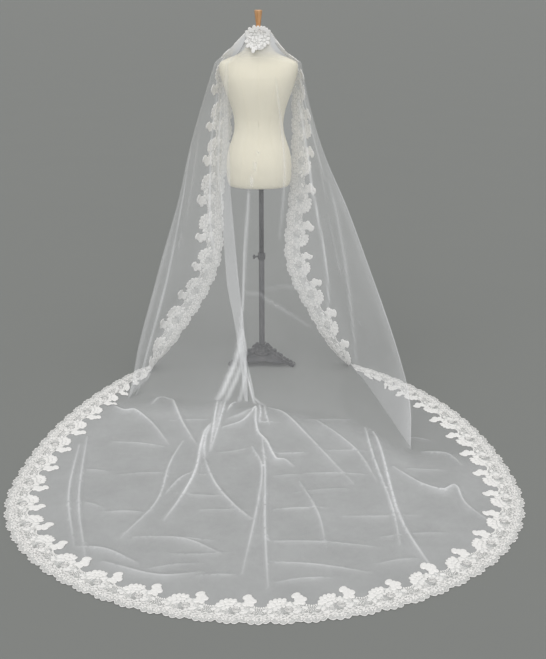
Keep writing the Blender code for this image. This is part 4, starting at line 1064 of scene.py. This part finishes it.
class Motif:
    """One repeat of the lace flowers, laid out flat: s along the edge, w in from it, h up."""

    # s, w, length, width, turn in degrees, height of each puffed petal
    PETALS = (
        (0.007, 0.094, 0.026, 0.020, 120, 0.0034), (0.015, 0.111, 0.024, 0.019, 100, 0.0036),
        (0.029, 0.119, 0.024, 0.018, 85, 0.0036), (0.045, 0.122, 0.023, 0.018, 95, 0.0036),
        (0.060, 0.121, 0.022, 0.018, 70, 0.0034), (0.022, 0.096, 0.020, 0.015, 30, 0.0028),
        (0.038, 0.103, 0.020, 0.015, -10, 0.0028), (0.054, 0.105, 0.018, 0.014, 20, 0.0028),
        (0.028, 0.079, 0.022, 0.015, 75, 0.0030), (0.041, 0.087, 0.016, 0.013, 10, 0.0026),
        (0.104, 0.143, 0.040, 0.026, 32, 0.0042), (0.128, 0.122, 0.027, 0.025, -15, 0.0042),
        (0.107, 0.122, 0.027, 0.026, 70, 0.0040), (0.120, 0.104, 0.026, 0.022, -40, 0.0038),
        (0.101, 0.105, 0.024, 0.022, 40, 0.0036), (0.118, 0.134, 0.024, 0.020, 10, 0.0038),
        (0.076, 0.104, 0.022, 0.013, 50, 0.0028), (0.009, 0.066, 0.020, 0.014, 50, 0.0028),
        (0.102, 0.064, 0.026, 0.014, 40, 0.0030), (0.126, 0.078, 0.024, 0.012, -35, 0.0028),
        (0.170, 0.072, 0.020, 0.013, 20, 0.0028), (0.016, 0.047, 0.020, 0.012, -20, 0.0026),
    )
    ROSETTE = (0.071, 0.074)
    FAN = (0.151, 0.055)
    CHAIN = ((0.125, 0.096), (0.133, 0.091), (0.141, 0.088), (0.149, 0.086), (0.157, 0.0855), (0.165, 0.087),
             (0.173, 0.090))

    def __init__(self, sizes: LaceSizes) -> None:
        """Shape every part of the repeat.

        Args:
            sizes: Sizes of the band.
        """
        self.sizes = sizes
        self.body = bmesh.new()
        for row in self.PETALS:
            self._petal(*row)
        self._rosette()
        self._fan()
        for s, w in self.CHAIN:
            self._bead(s, w, 0.0036)
        self._edge_flowers()
        self._cords()
        self.body.verts.ensure_lookup_table()
        self.points = np.array([v.co for v in self.body.verts])
        self.faces = [[v.index for v in f.verts] for f in self.body.faces]
        self.body.free()

    def edge(self, s: np.ndarray | float) -> np.ndarray | float:
        """How far in the outer edge lies at s: two large scallops, each of small ones."""
        phase = np.asarray(s) / self.sizes.repeat
        large = 1.0 - np.abs(np.sin(math.pi * (2.0 * phase - 0.10)))
        small = 1.0 - np.abs(np.sin(math.pi * (self.sizes.small_scallops * phase - 0.45)))
        return self.sizes.scallop_depth * large ** 1.3 + self.sizes.small_depth * small + 0.002

    def inner(self, s: np.ndarray) -> np.ndarray:
        """How far in the lace ground reaches at s: high under the flowers, low at the chain."""
        phase = np.asarray(s) % self.sizes.repeat
        stops = (0.0, 0.012, 0.030, 0.062, 0.080, 0.105, 0.122, 0.136, 0.158, 0.170, 0.176)
        reach = (0.094, 0.112, 0.122, 0.122, 0.108, 0.118, 0.104, 0.086, 0.083, 0.086, 0.094)
        return np.interp(phase, stops, reach)

    def openness(self, s: np.ndarray, w: np.ndarray) -> np.ndarray:
        """Where the lace ground is open net: beside the rosette, by the chain and in small pits."""
        s = s % self.sizes.repeat
        ds, dw = s - self.ROSETTE[0], w - self.ROSETTE[1]
        away = np.hypot(ds, dw)
        turn = np.degrees(np.arctan2(dw, ds)) % 360.0
        crescent = ((away > 0.014) & (away < 0.027) & (turn > 95.0) & (turn < 265.0)) | (away < 0.016)
        notch = np.hypot((s - 0.119) / 1.6, w - 0.089) < 0.007
        fan_turn = np.hypot(s - self.FAN[0], w - self.FAN[1])
        rays = (fan_turn < 0.030) & (fan_turn > 0.006) & (w > self.FAN[1] - 0.004)
        body = np.where(w < 0.072, 0.42, 0.15)
        return np.where(crescent | notch, 1.0, np.where(rays, 0.85, body))

    def _petal(self, s: float, w: float, length: float, width: float, turn: float, rise: float,
               rings: int = 5, sides: int = 10) -> None:
        """Add one puffed petal: a flat cushion with a raised rim and a hollow in the middle."""
        made = bmesh.ops.create_uvsphere(self.body, u_segments=sides, v_segments=rings * 2, radius=1.0)["verts"]
        c, si = math.cos(math.radians(turn)), math.sin(math.radians(turn))
        for vert in made:
            x, y, z = vert.co
            out = math.hypot(x, y)
            rim = 0.45 + 0.55 * math.exp(-((out - 0.72) / 0.24) ** 2)
            lobe = 1.0 + 0.06 * math.cos(5.0 * math.atan2(y, x))
            px, py = x * length / 2.0 * lobe, y * width / 2.0 * lobe
            vert.co = (s + px * c - py * si, w + px * si + py * c, z * rise * rim)

    def _bead(self, s: float, w: float, radius: float) -> None:
        """Add one stitched knot of the chain."""
        made = bmesh.ops.create_icosphere(self.body, subdivisions=1, radius=radius)["verts"]
        bmesh.ops.translate(self.body, verts=made, vec=(s, w, 0.0))

    def _cord(self, path: Sequence[Sequence[float]], radius: float, sides: int = 4, rise: float = 0.001) -> None:
        """Add a raised cord along a flat path."""
        line = np.array([(p[0], p[1], rise) for p in path])
        tube(self.body, line, radius, sides)

    def _rosette(self) -> None:
        """Add the ring flower: an open ring of petals and a coiled cord in its middle."""
        s, w = self.ROSETTE
        for k in range(7):
            turn = -70.0 + 34.0 * k
            a = math.radians(turn)
            self._petal(s + 0.0225 * math.cos(a), w + 0.0225 * math.sin(a), 0.015, 0.012, turn, 0.0028, 3, 8)
        coil = []
        for k in range(46):
            turn = 0.42 * k
            reach = 0.0025 + 0.00026 * k
            coil.append((s + reach * math.cos(turn), w + reach * math.sin(turn) * 0.95))
        self._cord(coil, 0.0013)

    def _fan(self) -> None:
        """Add rays of short stitches in arcs under the chain."""
        s, w = self.FAN
        for reach, count in ((0.011, 5), (0.019, 8), (0.027, 10)):
            for k in range(count):
                a = math.radians(18.0 + 144.0 * k / (count - 1))
                self._petal(s + reach * math.cos(a), w + reach * math.sin(a), 0.0062, 0.0030,
                            math.degrees(a), 0.0016, 2, 6)

    def _edge_flowers(self) -> None:
        """Add the row of small flowers that follows the scalloped edge."""
        count = 7
        for k in range(count):
            s = (k + 0.5) * self.sizes.repeat / count
            w = float(self.edge(s)) + 0.017 + 0.004 * (k % 2)
            for p in range(5):
                a = 2.0 * math.pi * (p + 0.5 * (k % 2)) / 5
                self._petal(s + 0.0076 * math.cos(a), w + 0.0076 * math.sin(a), 0.0102, 0.0080,
                            math.degrees(a), 0.0024, 2, 6)
            self._bead(s, w, 0.0021)
            for side in (-1.0, 1.0):
                self._petal(s + side * 0.0080, w + 0.0180, 0.0130, 0.0062, 40.0 * side, 0.0022, 2, 6)

    def _cords(self) -> None:
        """Add the cords: along the edge, above the flowers and round the leaves."""
        repeat = self.sizes.repeat
        along = np.linspace(0.0, repeat, 73)
        self._cord(np.column_stack((along, self.edge(along))), self.sizes.cord, rise=0.0006)
        along = np.linspace(0.0, repeat, 37)
        for base, swing, phase in ((0.036, 0.004, 0.0), (0.046, 0.005, 1.3)):
            wave = base + 0.35 * self.sizes.scallop_depth * np.cos(2 * math.pi * (2 * along / repeat - 0.1))
            wave = wave + swing * np.sin(2.0 * math.pi * 6.0 * along / repeat + phase)
            self._cord(np.column_stack((along, wave)), 0.0017)
        for s, w, reach, start, sweep in ((0.125, 0.060, 0.013, 200, 300), (0.030, 0.060, 0.011, 20, 290),
                                          (0.111, 0.088, 0.010, 120, 230)):
            turns = np.radians(np.linspace(start, start + sweep, 14))
            grow = np.linspace(1.0, 0.35, 14) * reach
            self._cord(np.column_stack((s + grow * np.cos(turns), w + grow * np.sin(turns))), 0.0012)


class Band:
    """A strip of surface that lace lies on, with places and normals from its free edge inwards."""

    def __init__(self, places: np.ndarray, normals: np.ndarray, step: float) -> None:
        """Keep the strip.

        Args:
            places: Stations along the edge by steps inwards by three.
            normals: The same, for the outward normal.
            step: Length of one step inwards.
        """
        self.places = places
        self.normals = normals
        self.step = step

    def at(self, share: np.ndarray, w: np.ndarray, h: np.ndarray) -> np.ndarray:
        """Return points in space for shares of the strip's length, depths inwards and heights."""
        stations, steps = self.places.shape[:2]
        i = np.clip(share * (stations - 1), 0.0, stations - 1.001)
        j = np.clip(w / self.step, 0.0, steps - 1.001)
        i0, j0 = i.astype(int), j.astype(int)
        fi, fj = (i - i0)[:, None], (j - j0)[:, None]

        def mixed(table: np.ndarray) -> np.ndarray:
            low = table[i0, j0] * (1 - fi) + table[i0 + 1, j0] * fi
            high = table[i0, j0 + 1] * (1 - fi) + table[i0 + 1, j0 + 1] * fi
            return low * (1 - fj) + high * fj

        normal = mixed(self.normals)
        normal /= np.linalg.norm(normal, axis=1)[:, None]
        return mixed(self.places) + normal * h[:, None]


class LaceBorder:
    """Makes the lace pieces along the two falls and round the train."""

    SMOOTHINGS = 18

    def __init__(self, bench: Workbench, drape: Drape, train: Train, sizes: LaceSizes) -> None:
        """Prepare the motif and the surface that the falls lie on.

        Args:
            bench: Makes the objects.
            drape: Hanging shape.
            train: Floor shape.
            sizes: Sizes of the band.
        """
        self.bench = bench
        self.drape = drape
        self.train = train
        self.sizes = sizes
        self.motif = Motif(sizes)
        points, _, _ = drape.grid(110, False)
        rows, columns = points.shape[:2]
        cells = [(r * columns + c, r * columns + c + 1, (r + 1) * columns + c + 1, (r + 1) * columns + c)
                 for r in range(rows - 1) for c in range(columns - 1)]
        self.surface = BVHTree.FromPolygons([Vector(p) for p in points.reshape(-1, 3)], cells)
        self.steps = int(sizes.reach / sizes.march_step) + 2

    def _fall_band(self, left: bool) -> tuple[Band, float]:
        """Walk the hanging sheet inwards from a free edge at every station."""
        stations = 260
        edge = self.drape.free_edge(left, stations)
        path = edge[:, :3]
        length = float(np.linalg.norm(np.diff(path, axis=0), axis=1).sum())
        slopes = np.gradient(path, axis=0)
        places = np.zeros((stations, self.steps, 3))
        normals = np.zeros((stations, self.steps, 3))
        for k in range(stations):
            slope = unit(slopes[k])
            nxt = self.drape.point("left_front" if left else "right_front", edge[k, 3])
            heading = nxt - path[k]
            heading = unit(heading - slope * float(heading @ slope))
            step = self.sizes.march_step * self.drape.at_level(self.drape.sizes.lace_share, edge[k, 3])
            here = path[k]
            for j in range(self.steps):
                if j > 0:
                    hit, _, _, _ = self.surface.find_nearest(Vector(here + heading * step))
                    fresh = np.array(hit)
                    heading = unit(fresh - here)
                    here = here + heading * step
                normal = unit(np.cross(slope, heading))
                if float(normal @ (here - INSIDE_HANGING)) < 0.0:
                    normal = -normal
                places[k, j] = here
                normals[k, j] = normal
        for _ in range(self.SMOOTHINGS):
            places[1:-1] = (places[:-2] + 2.0 * places[1:-1] + places[2:]) / 4.0
            normals[1:-1] = (normals[:-2] + 2.0 * normals[1:-1] + normals[2:]) / 4.0
        places[:, :, 2] = np.maximum(places[:, :, 2], self.drape.sizes.foot_height)
        if not left:
            places, normals = places[::-1], normals[::-1]
        return Band(places, normals, self.sizes.march_step), length

    def _floor_band(self, low: float, high: float) -> tuple[Band, float]:
        """Lay a strip flat along part of the train's border, rising with the folds."""
        along = np.linspace(low, high, 400) * self.train.length
        here, inward = self.train.border(along)
        places = np.zeros((400, self.steps, 3))
        for j in range(self.steps):
            plan = here + inward * self.sizes.march_step * j
            height, _ = self.train.folds_at(plan)
            settle = np.clip((j * self.sizes.march_step - 0.07) / 0.05, 0.0, 1.0)
            places[:, j, :2] = plan
            places[:, j, 2] = self.drape.sizes.foot_height + height * settle
        normals = np.zeros_like(places)
        normals[..., 2] = 1.0
        return Band(places, normals, self.sizes.march_step), (high - low) * self.train.length

    def _strip(self, name: str, node: str, band: Band, length: float) -> None:
        """Make one stretch of lace: its ground and every repeat of its flowers."""
        sizes = self.sizes
        repeats = max(1, round(length / sizes.repeat))
        rng = np.random.default_rng(len(name))
        body = bmesh.new()
        open_layer = body.verts.layers.float.new("net_open")
        columns = repeats * sizes.columns_per_repeat + 1
        s = np.linspace(0.0, repeats * sizes.repeat, columns)
        outer, inner = self.motif.edge(s), self.motif.inner(s)
        share = s / s[-1]
        rows = [outer + (inner - outer) * r / (sizes.ground_rows - 1) for r in range(sizes.ground_rows)]
        points = np.array([band.at(share, w, np.full(columns, sizes.lift * 0.5)) for w in rows])
        opens = np.array([self.motif.openness(s, w) for w in rows])
        for vert, value in zip(weave_grid(body, points), opens.reshape(-1)):
            vert[open_layer] = value
        flowers = bmesh.new()
        for number in range(repeats):
            local = self.motif.points
            grow = 1.0 + 0.03 * rng.standard_normal()
            along = (local[:, 0] + number * sizes.repeat) / (repeats * sizes.repeat)
            inside = np.maximum(local[:, 1] * (1.0 + (grow - 1.0) * np.clip(local[:, 1] / 0.1, 0.0, 1.0)), 0.0)
            placed = band.at(np.clip(along, 0.0, 1.0), inside, local[:, 2] + sizes.lift)
            placed[:, 2] = np.maximum(placed[:, 2], 0.0004)
            verts = [flowers.verts.new(p) for p in placed]
            for face in self.motif.faces:
                flowers.faces.new([verts[k] for k in face])
        piece = self.bench.piece(name, body, (Cloth.NET,))
        worked = self.bench.piece(f"{name}_flowers", flowers, (Cloth.CORD,))
        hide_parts(node)

    def make(self) -> None:
        """Make the four stretches of the border."""
        split = self.train.sizes.split
        band, length = self._fall_band(True)
        self._strip("lace_left_edge", "lace_left_fall", band, length)
        band, length = self._floor_band(0.0, split)
        self._strip("lace_train_left_edge", "lace_train_left", band, length)
        band, length = self._floor_band(split, 1.0)
        self._strip("lace_train_right_edge", "lace_train_right", band, length)
        band, length = self._fall_band(False)
        self._strip("lace_right_edge", "lace_right_fall", band, length)


class NeckFlowers:
    """The cluster of lace flowers at the back of the neck."""

    CENTRE = (-0.022, 1.580)
    RADIUS = 0.0622
    LEAN = 0.38
    TOP = 0.010
    CURVE = 0.130

    def __init__(self, bench: Workbench) -> None:
        """Keep the bench.

        Args:
            bench: Makes the object.
        """
        self.bench = bench

    def _place(self, across: np.ndarray, up: np.ndarray, out: np.ndarray) -> np.ndarray:
        """Wrap flat points round the neck, leaning out towards the foot."""
        radius = self.RADIUS + self.LEAN * np.maximum(0.0, self.TOP - up) + out
        turn = across / self.CURVE
        x = self.CENTRE[0] + self.CURVE * np.sin(turn)
        y = -radius + self.CURVE * (1.0 - np.cos(turn))
        return np.stack((x, y, self.CENTRE[1] + up), axis=1)

    def _petal(self, body: bmesh.types.BMesh, across: float, up: float, length: float, width: float,
               turn: float, rise: float) -> None:
        """Add one puffed petal to the cluster."""
        made = bmesh.ops.create_uvsphere(body, u_segments=14, v_segments=10, radius=1.0)["verts"]
        local = np.array([v.co for v in made])
        reach = np.hypot(local[:, 0], local[:, 1])
        rim = 0.40 + 0.60 * np.exp(-((reach - 0.72) / 0.24) ** 2)
        c, s = math.cos(math.radians(turn)), math.sin(math.radians(turn))
        px, py = local[:, 0] * length / 2.0, local[:, 1] * width / 2.0
        placed = self._place(across + px * c - py * s, up + px * s + py * c, 0.002 + rise + local[:, 2] * rise * rim)
        for vert, place in zip(made, placed):
            vert.co = place

    def make(self) -> None:
        """Build the cluster over a small lobed ground."""
        body = bmesh.new()
        open_layer = body.verts.layers.float.new("net_open")
        turns = np.linspace(0.0, 2.0 * math.pi, 73)
        lobes = 0.93 + 0.07 * np.abs(np.sin(turns * 4.0))
        rows = [self._place(0.054 * part * lobes * np.cos(turns), 0.050 * part * lobes * np.sin(turns),
                            np.full(73, 0.0016)) for part in np.linspace(0.02, 1.0, 10)]
        for vert in weave_grid(body, np.array(rows), wrap=True):
            vert[open_layer] = 0.1
        petals = bmesh.new()
        flowers = ((-0.012, 0.017, 6, 0.017, 0.0), (0.031, -0.008, 7, 0.020, 20.0), (-0.004, -0.018, 5, 0.011, 10.0),
                   (-0.034, -0.008, 5, 0.012, 0.0), (0.010, 0.034, 5, 0.011, 30.0), (0.030, 0.028, 5, 0.011, 12.0))
        for across, up, count, reach, start in flowers:
            for k in range(count):
                turn = start + 360.0 * k / count
                a = math.radians(turn)
                self._petal(petals, across + reach * math.cos(a), up + reach * math.sin(a), reach * 0.95, reach * 0.72,
                            turn, 0.0026)
            self._petal(petals, across, up, reach * 0.6, reach * 0.5, start, 0.0022)
        for row in ((-0.014, 0.045, 0.024, 0.018, 95), (0.002, 0.045, 0.020, 0.015, 70), (-0.032, 0.036, 0.026, 0.020, 130),
                    (0.050, 0.027, 0.026, 0.020, 20), (-0.047, 0.025, 0.022, 0.017, 140), (0.029, 0.042, 0.022, 0.017, 60),
                    (0.018, 0.044, 0.020, 0.015, 80), (0.040, 0.036, 0.022, 0.016, 45), (0.050, 0.016, 0.018, 0.014, 5),
                    (-0.046, 0.012, 0.022, 0.015, 165), (-0.050, -0.012, 0.020, 0.015, 190), (-0.042, -0.030, 0.024, 0.017, 220),
                    (-0.026, -0.032, 0.022, 0.016, 240), (-0.018, -0.048, 0.028, 0.019, 262), (-0.006, -0.040, 0.020, 0.014, 290),
                    (0.008, -0.034, 0.020, 0.014, 280), (0.012, 0.008, 0.018, 0.013, 50), (-0.036, 0.010, 0.018, 0.013, 80)):
            self._petal(petals, *row, 0.0028)
        piece = self.bench.piece("lace_neck_ground", body, (Cloth.NET,))
        worked = self.bench.piece("lace_neck_flowers", petals, (Cloth.CORD,))
        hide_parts("lace_neck")


# Form and stand


class DressForm:
    """The limbless torso with its cover, seams and turned neck cap."""

    POWER = 2.2
    ROUND_FROM = 1.54

    def __init__(self, bench: Workbench) -> None:
        """Keep the bench and the form's levels.

        Args:
            bench: Makes the objects.
        """
        self.bench = bench
        self.table = np.array([(r.z, r.half, r.back, r.front) for r in FORM_RINGS])

    def _ring(self, level: float, turns: np.ndarray, out: float = 0.0) -> np.ndarray:
        """Return points of the cover at a level, out of the surface by a little."""
        z, half, back, front = spline(self.table, level)
        power = 2.0 if z > self.ROUND_FROM else self.POWER
        c, s = np.cos(turns), np.sin(turns)
        x = (half + out) * np.sign(c) * np.abs(c) ** (2.0 / power)
        deep = np.where(s > 0.0, front, back) + out
        y = deep * np.sign(s) * np.abs(s) ** (2.0 / power)
        return np.stack((FORM_X + x, y, np.full(len(turns), z)), axis=1)

    def make(self) -> None:
        """Build the cover, its seams and the wooden neck cap with its knob."""
        body = bmesh.new()
        turns = np.arange(96) * 2.0 * math.pi / 96
        levels = np.linspace(0.0, len(FORM_RINGS) - 1.0, 120)
        loft(body, [self._ring(level, turns) for level in levels])
        cover = self.bench.piece("form_cover", body, (Cloth.LINEN,))
        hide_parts("form_torso")
        seams = bmesh.new()
        for angle in (90.0, 270.0, 0.0, 180.0, 236.0, 304.0, 56.0, 124.0):
            lean = 10.0 * math.copysign(1.0, math.cos(math.radians(angle))) if angle % 90.0 else 0.0
            path = []
            for level in np.linspace(1.0, len(FORM_RINGS) - 4.5, 60):
                share = level / (len(FORM_RINGS) - 4.5)
                turn = np.array((math.radians(angle - lean * math.sin(math.pi * share)),))
                path.append(self._ring(level, turn, 0.0001)[0])
            tube(seams, np.array(path), 0.0007, 6)
        seams_piece = self.bench.piece("form_seams", seams, (Cloth.LINEN,))
        knob = bmesh.new()
        profile = ((0.0010, 1.7000), (0.0130, 1.6996), (0.0165, 1.6985), (0.0176, 1.6960), (0.0176, 1.6925),
                   (0.0168, 1.6840), (0.0152, 1.6720), (0.0136, 1.6600), (0.0120, 1.6480), (0.0106, 1.6380),
                   (0.0100, 1.6330), (0.0104, 1.6312), (0.0126, 1.6300), (0.0130, 1.6285), (0.0126, 1.6268),
                   (0.0150, 1.6240), (0.0300, 1.6215), (0.0360, 1.6205), (0.0385, 1.6190), (0.0390, 1.6165),
                   (0.0388, 1.6124))
        turned(knob, profile, FORM_X, 48)
        knob_piece = self.bench.piece("neck_cap_and_knob", knob, (Cloth.WOOD,))
        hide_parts("neck_knob")


class Stand:
    """The pole with its collar and screw, and the cast tripod base."""

    LEG_ANGLES = (203.0, 337.0, 90.0)

    def __init__(self, bench: Workbench) -> None:
        """Keep the bench.

        Args:
            bench: Makes the objects.
        """
        self.bench = bench

    def _piece(self, name: str, body: bmesh.types.BMesh, *nodes: str) -> None:
        """Finish one iron piece."""
        made = self.bench.piece(name, body, (Cloth.IRON,))
        for node in nodes:
            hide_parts(node)

    def make(self) -> None:
        """Build the pole, collar, screw and base."""
        pole = bmesh.new()
        turned(pole, ((0.0125, 0.5400), (0.0138, 0.5390), (0.0138, 0.1060), (0.0150, 0.1045), (0.0150, 0.0953)),
               POLE_X, 40)
        self._piece("pole_lower_tube", pole, "pole_lower")
        upper = bmesh.new()
        turned(upper, ((0.0114, 0.9046), (0.0114, 0.5743)), POLE_X, 40)
        self._piece("pole_upper_tube", upper, "pole_upper")
        collar = bmesh.new()
        turned(collar, ((0.0135, 0.5740), (0.0165, 0.5735), (0.0185, 0.5710), (0.0178, 0.5690), (0.0178, 0.5640),
                        (0.0188, 0.5625), (0.0188, 0.5510), (0.0178, 0.5495), (0.0178, 0.5450), (0.0185, 0.5430),
                        (0.0160, 0.5406), (0.0140, 0.5403)), POLE_X, 40)
        self._piece("pole_height_collar", collar, "pole_collar")
        self._screw()
        self._base()

    def _screw(self) -> None:
        """Build the thumb screw with its flat wings."""
        body = bmesh.new()
        turn = math.radians(200.0)
        out = np.array((math.cos(turn), math.sin(turn), 0.0))
        start = np.array((POLE_X, 0.0, 0.557)) + out * 0.0193
        path = np.array([start + out * reach for reach in (0.0, 0.002, 0.010, 0.013, 0.0155)])
        tube(body, path, (0.0040, 0.0042, 0.0042, 0.0052, 0.0050), 16)
        head = bmesh.ops.create_uvsphere(body, u_segments=24, v_segments=14, radius=1.0)["verts"]
        side = np.array((-out[1], out[0], 0.0))
        for vert in head:
            x, y, z = vert.co
            vert.co = start + out * (0.0195 + 0.0062 * x) + side * 0.0032 * y + np.array((0.0, 0.0, 0.0118 * z))
        self._piece("pole_thumb_screw", body, "clamp_screw")

    def _base(self) -> None:
        """Build the hub and its three scrolled legs with their leaf work."""
        body = bmesh.new()
        turned(body, ((0.0150, 0.0950), (0.0190, 0.0945), (0.0205, 0.0920), (0.0190, 0.0895), (0.0215, 0.0860),
                      (0.0300, 0.0810), (0.0370, 0.0755), (0.0395, 0.0710), (0.0370, 0.0675), (0.0400, 0.0650),
                      (0.0470, 0.0620), (0.0500, 0.0580), (0.0490, 0.0540), (0.0430, 0.0510), (0.0300, 0.0490),
                      (0.0150, 0.0480)), POLE_X, 56)
        for count, first, leaf, thick in (
                (9, 0.0, ((0.022, 0.073), (0.034, 0.0810), (0.043, 0.0825), (0.050, 0.0780), (0.0525, 0.0710)), 0.0060),
                (9, 20.0, ((0.017, 0.084), (0.023, 0.0910), (0.030, 0.0960), (0.035, 0.0955), (0.038, 0.0915)), 0.0044),
                (14, 8.0, ((0.046, 0.063), (0.052, 0.0635), (0.0555, 0.0595), (0.0540, 0.0550)), 0.0040)):
            for k in range(count):
                turn = math.radians(first + 360.0 * k / count)
                out = np.array((math.cos(turn), math.sin(turn), 0.0))
                line = smooth_line([np.array((POLE_X, 0.0, z)) + out * r for r, z in leaf], 12)
                tube(body, line, np.interp(np.linspace(0, 1, 12), (0, 0.5, 1), (0.4 * thick, thick, 0.2 * thick)), 8,
                     wide=1.35)
        self._skirt(body)
        for angle in self.LEG_ANGLES:
            self._leg(body, math.radians(angle))
        self._piece("cast_tripod_base", body, "stand_base")

    def _skirt(self, body: bmesh.types.BMesh) -> None:
        """Add the arched skirt under the hub, drawn out towards each leg."""
        turns = np.arange(72) * 2.0 * math.pi / 72
        pull = np.zeros(72)
        for angle in self.LEG_ANGLES:
            away = np.abs((turns - math.radians(angle) + math.pi) % (2.0 * math.pi) - math.pi)
            pull = np.maximum(pull, np.exp(-(away / 0.55) ** 2))
        rings = []
        for top, reach, drawn, lift in ((0.0540, 0.040, 0.010, 0.0), (0.0490, 0.050, 0.022, 0.0),
                                        (0.0380, 0.058, 0.040, 0.2), (0.0240, 0.064, 0.058, 0.7),
                                        (0.0165, 0.066, 0.066, 1.0), (0.0170, 0.062, 0.062, 1.0),
                                        (0.0260, 0.056, 0.052, 0.7), (0.0380, 0.048, 0.034, 0.2),
                                        (0.0460, 0.038, 0.014, 0.0)):
            wide = reach + drawn * pull
            rings.append(np.stack((POLE_X + wide * np.cos(turns), wide * np.sin(turns),
                                   top + 0.012 * lift * (1.0 - pull)), axis=1))
        loft(body, rings)

    def _leg(self, body: bmesh.types.BMesh, turn: float) -> None:
        """Add one leg: a deep arched bar, a scroll at its foot and leaves along its back."""
        out = np.array((math.cos(turn), math.sin(turn), 0.0))
        side = np.array((-out[1], out[0], 0.0))
        centre = np.array((POLE_X, 0.0, 0.0))

        def at(reach: float, height: float, across: float = 0.0) -> np.ndarray:
            return centre + out * reach + side * across + np.array((0.0, 0.0, height))

        spine = ((0.020, 0.0640, 0.0150), (0.045, 0.0600, 0.0160), (0.075, 0.0480, 0.0160), (0.105, 0.0330, 0.0135),
                 (0.132, 0.0215, 0.0112), (0.152, 0.0145, 0.0100), (0.168, 0.0100, 0.0090), (0.1755, 0.0082, 0.0060))
        line = smooth_line([at(r, h) for r, h, _ in spine], 40)
        deep = np.interp(np.linspace(0, 1, 40), np.linspace(0, 1, len(spine)), [d for _, _, d in spine])
        slopes = np.gradient(line, axis=0)
        rings = [ring_round(p, s, d, 20, wide=0.58) for p, s, d in zip(line, slopes, deep)]
        for ring in rings:
            ring[:, 2] = np.maximum(ring[:, 2], 0.0)
        loft(body, rings)
        for sign in (1.0, -1.0):
            for reach, height, size, start in ((0.066, 0.0560, 0.0150, 200.0), (0.102, 0.0370, 0.0125, 200.0),
                                               (0.134, 0.0230, 0.0100, 190.0), (0.168, 0.0150, 0.0130, 150.0)):
                spiral = []
                for k in range(26):
                    a = math.radians(start + 20.0 * k)
                    grow = size * (1.0 - 0.72 * k / 25)
                    place = at(reach + grow * math.cos(a), height + grow * math.sin(a), sign * 0.0088)
                    place[2] = max(place[2], 0.0026)
                    spiral.append(place)
                tube(body, np.array(spiral), np.linspace(0.0034, 0.0018, 26), 6)
        for reach, height, size in ((0.054, 0.0770, 0.0105), (0.070, 0.0760, 0.0120), (0.088, 0.0610, 0.0095),
                                    (0.104, 0.0560, 0.0105), (0.121, 0.0440, 0.0085), (0.138, 0.0370, 0.0090),
                                    (0.157, 0.0310, 0.0085)):
            curl = [at(reach - 0.010, height - 0.010), at(reach - 0.003, height - 0.001), at(reach + 0.004, height),
                    at(reach + 0.008, height - 0.006)]
            tube(body, smooth_line(curl, 10), np.interp(np.linspace(0, 1, 10), (0, 0.5, 1), (0.3 * size, 0.62 * size,
                                                                                         0.3 * size)), 8, wide=1.25)


# The studio


class Studio:
    """Plain floor, soft light and the camera."""

    CAMERA = (0.048, -4.520, 1.820)
    TILT = 70.0
    LENS = 52.28

    def __init__(self, finishes: Finishes, shift: np.ndarray) -> None:
        """Keep the finishes and the move into the frame's place.

        Args:
            finishes: Materials by kind.
            shift: Move of the drape into the frame.
        """
        self.finishes = finishes
        self.shift = shift

    def make(self) -> None:
        """Build the floor, lights, world and camera."""
        body = bmesh.new()
        bmesh.ops.create_circle(body, cap_ends=True, segments=64, radius=160.0)
        mesh = bpy.data.meshes.new("studio_floor")
        body.to_mesh(mesh)
        body.free()
        mesh.materials.append(self.finishes[Cloth.FLOOR])
        floor = bpy.data.objects.new("studio_floor", mesh)
        bpy.context.scene.collection.objects.link(floor)
        for name, power, spread, turn in (("soft_key", 1.25, 70.0, (38.0, 0.0, -28.0)),
                                          ("soft_fill", 0.62, 90.0, (50.0, 0.0, 55.0)),
                                          ("soft_front", 0.50, 60.0, (80.0, 0.0, 0.0))):
            light = bpy.data.lights.new(name, "SUN")
            light.energy = power
            light.angle = math.radians(spread)
            lamp = bpy.data.objects.new(name, light)
            lamp.rotation_euler = [math.radians(a) for a in turn]
            bpy.context.scene.collection.objects.link(lamp)
        world = bpy.data.worlds.new("studio_air")
        world.use_nodes = True
        sky = world.node_tree.nodes["Background"]
        sky.inputs["Color"].default_value = (1.0, 1.0, 1.0, 1.0)
        sky.inputs["Strength"].default_value = 0.45
        scene = bpy.context.scene
        scene.world = world
        scene.cycles.transparent_max_bounces = 48
        scene.view_settings.view_transform = "Standard"
        camera = bpy.data.cameras.new("photo_camera")
        camera.lens = self.LENS
        camera.sensor_width = 36.0
        camera.dof.use_dof = False
        holder = bpy.data.objects.new("photo_camera", camera)
        holder.location = Vector(np.array(self.CAMERA) + self.shift)
        holder.rotation_euler = (math.radians(self.TILT), 0.0, 0.0)
        scene.collection.objects.link(holder)
        scene.camera = holder


def main() -> None:
    """Dress the frame."""
    logging.basicConfig(level=logging.INFO, format="%(message)s")
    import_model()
    low, high = (np.array(corner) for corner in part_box("pole_lower"))
    middle = (low + high) / 2.0
    shift = np.array((middle[0] - POLE_X, middle[1], 0.0))
    finishes = Finishes()
    bench = Workbench(finishes, shift)
    drape = Drape(DrapeSizes())
    train = Train(TrainSizes(), drape)
    VeilSheet(bench, drape, train).make()
    LaceBorder(bench, drape, train, LaceSizes()).make()
    NeckFlowers(bench).make()
    DressForm(bench).make()
    Stand(bench).make()
    Studio(finishes, shift).make()


if __name__ == "__main__":
    main()
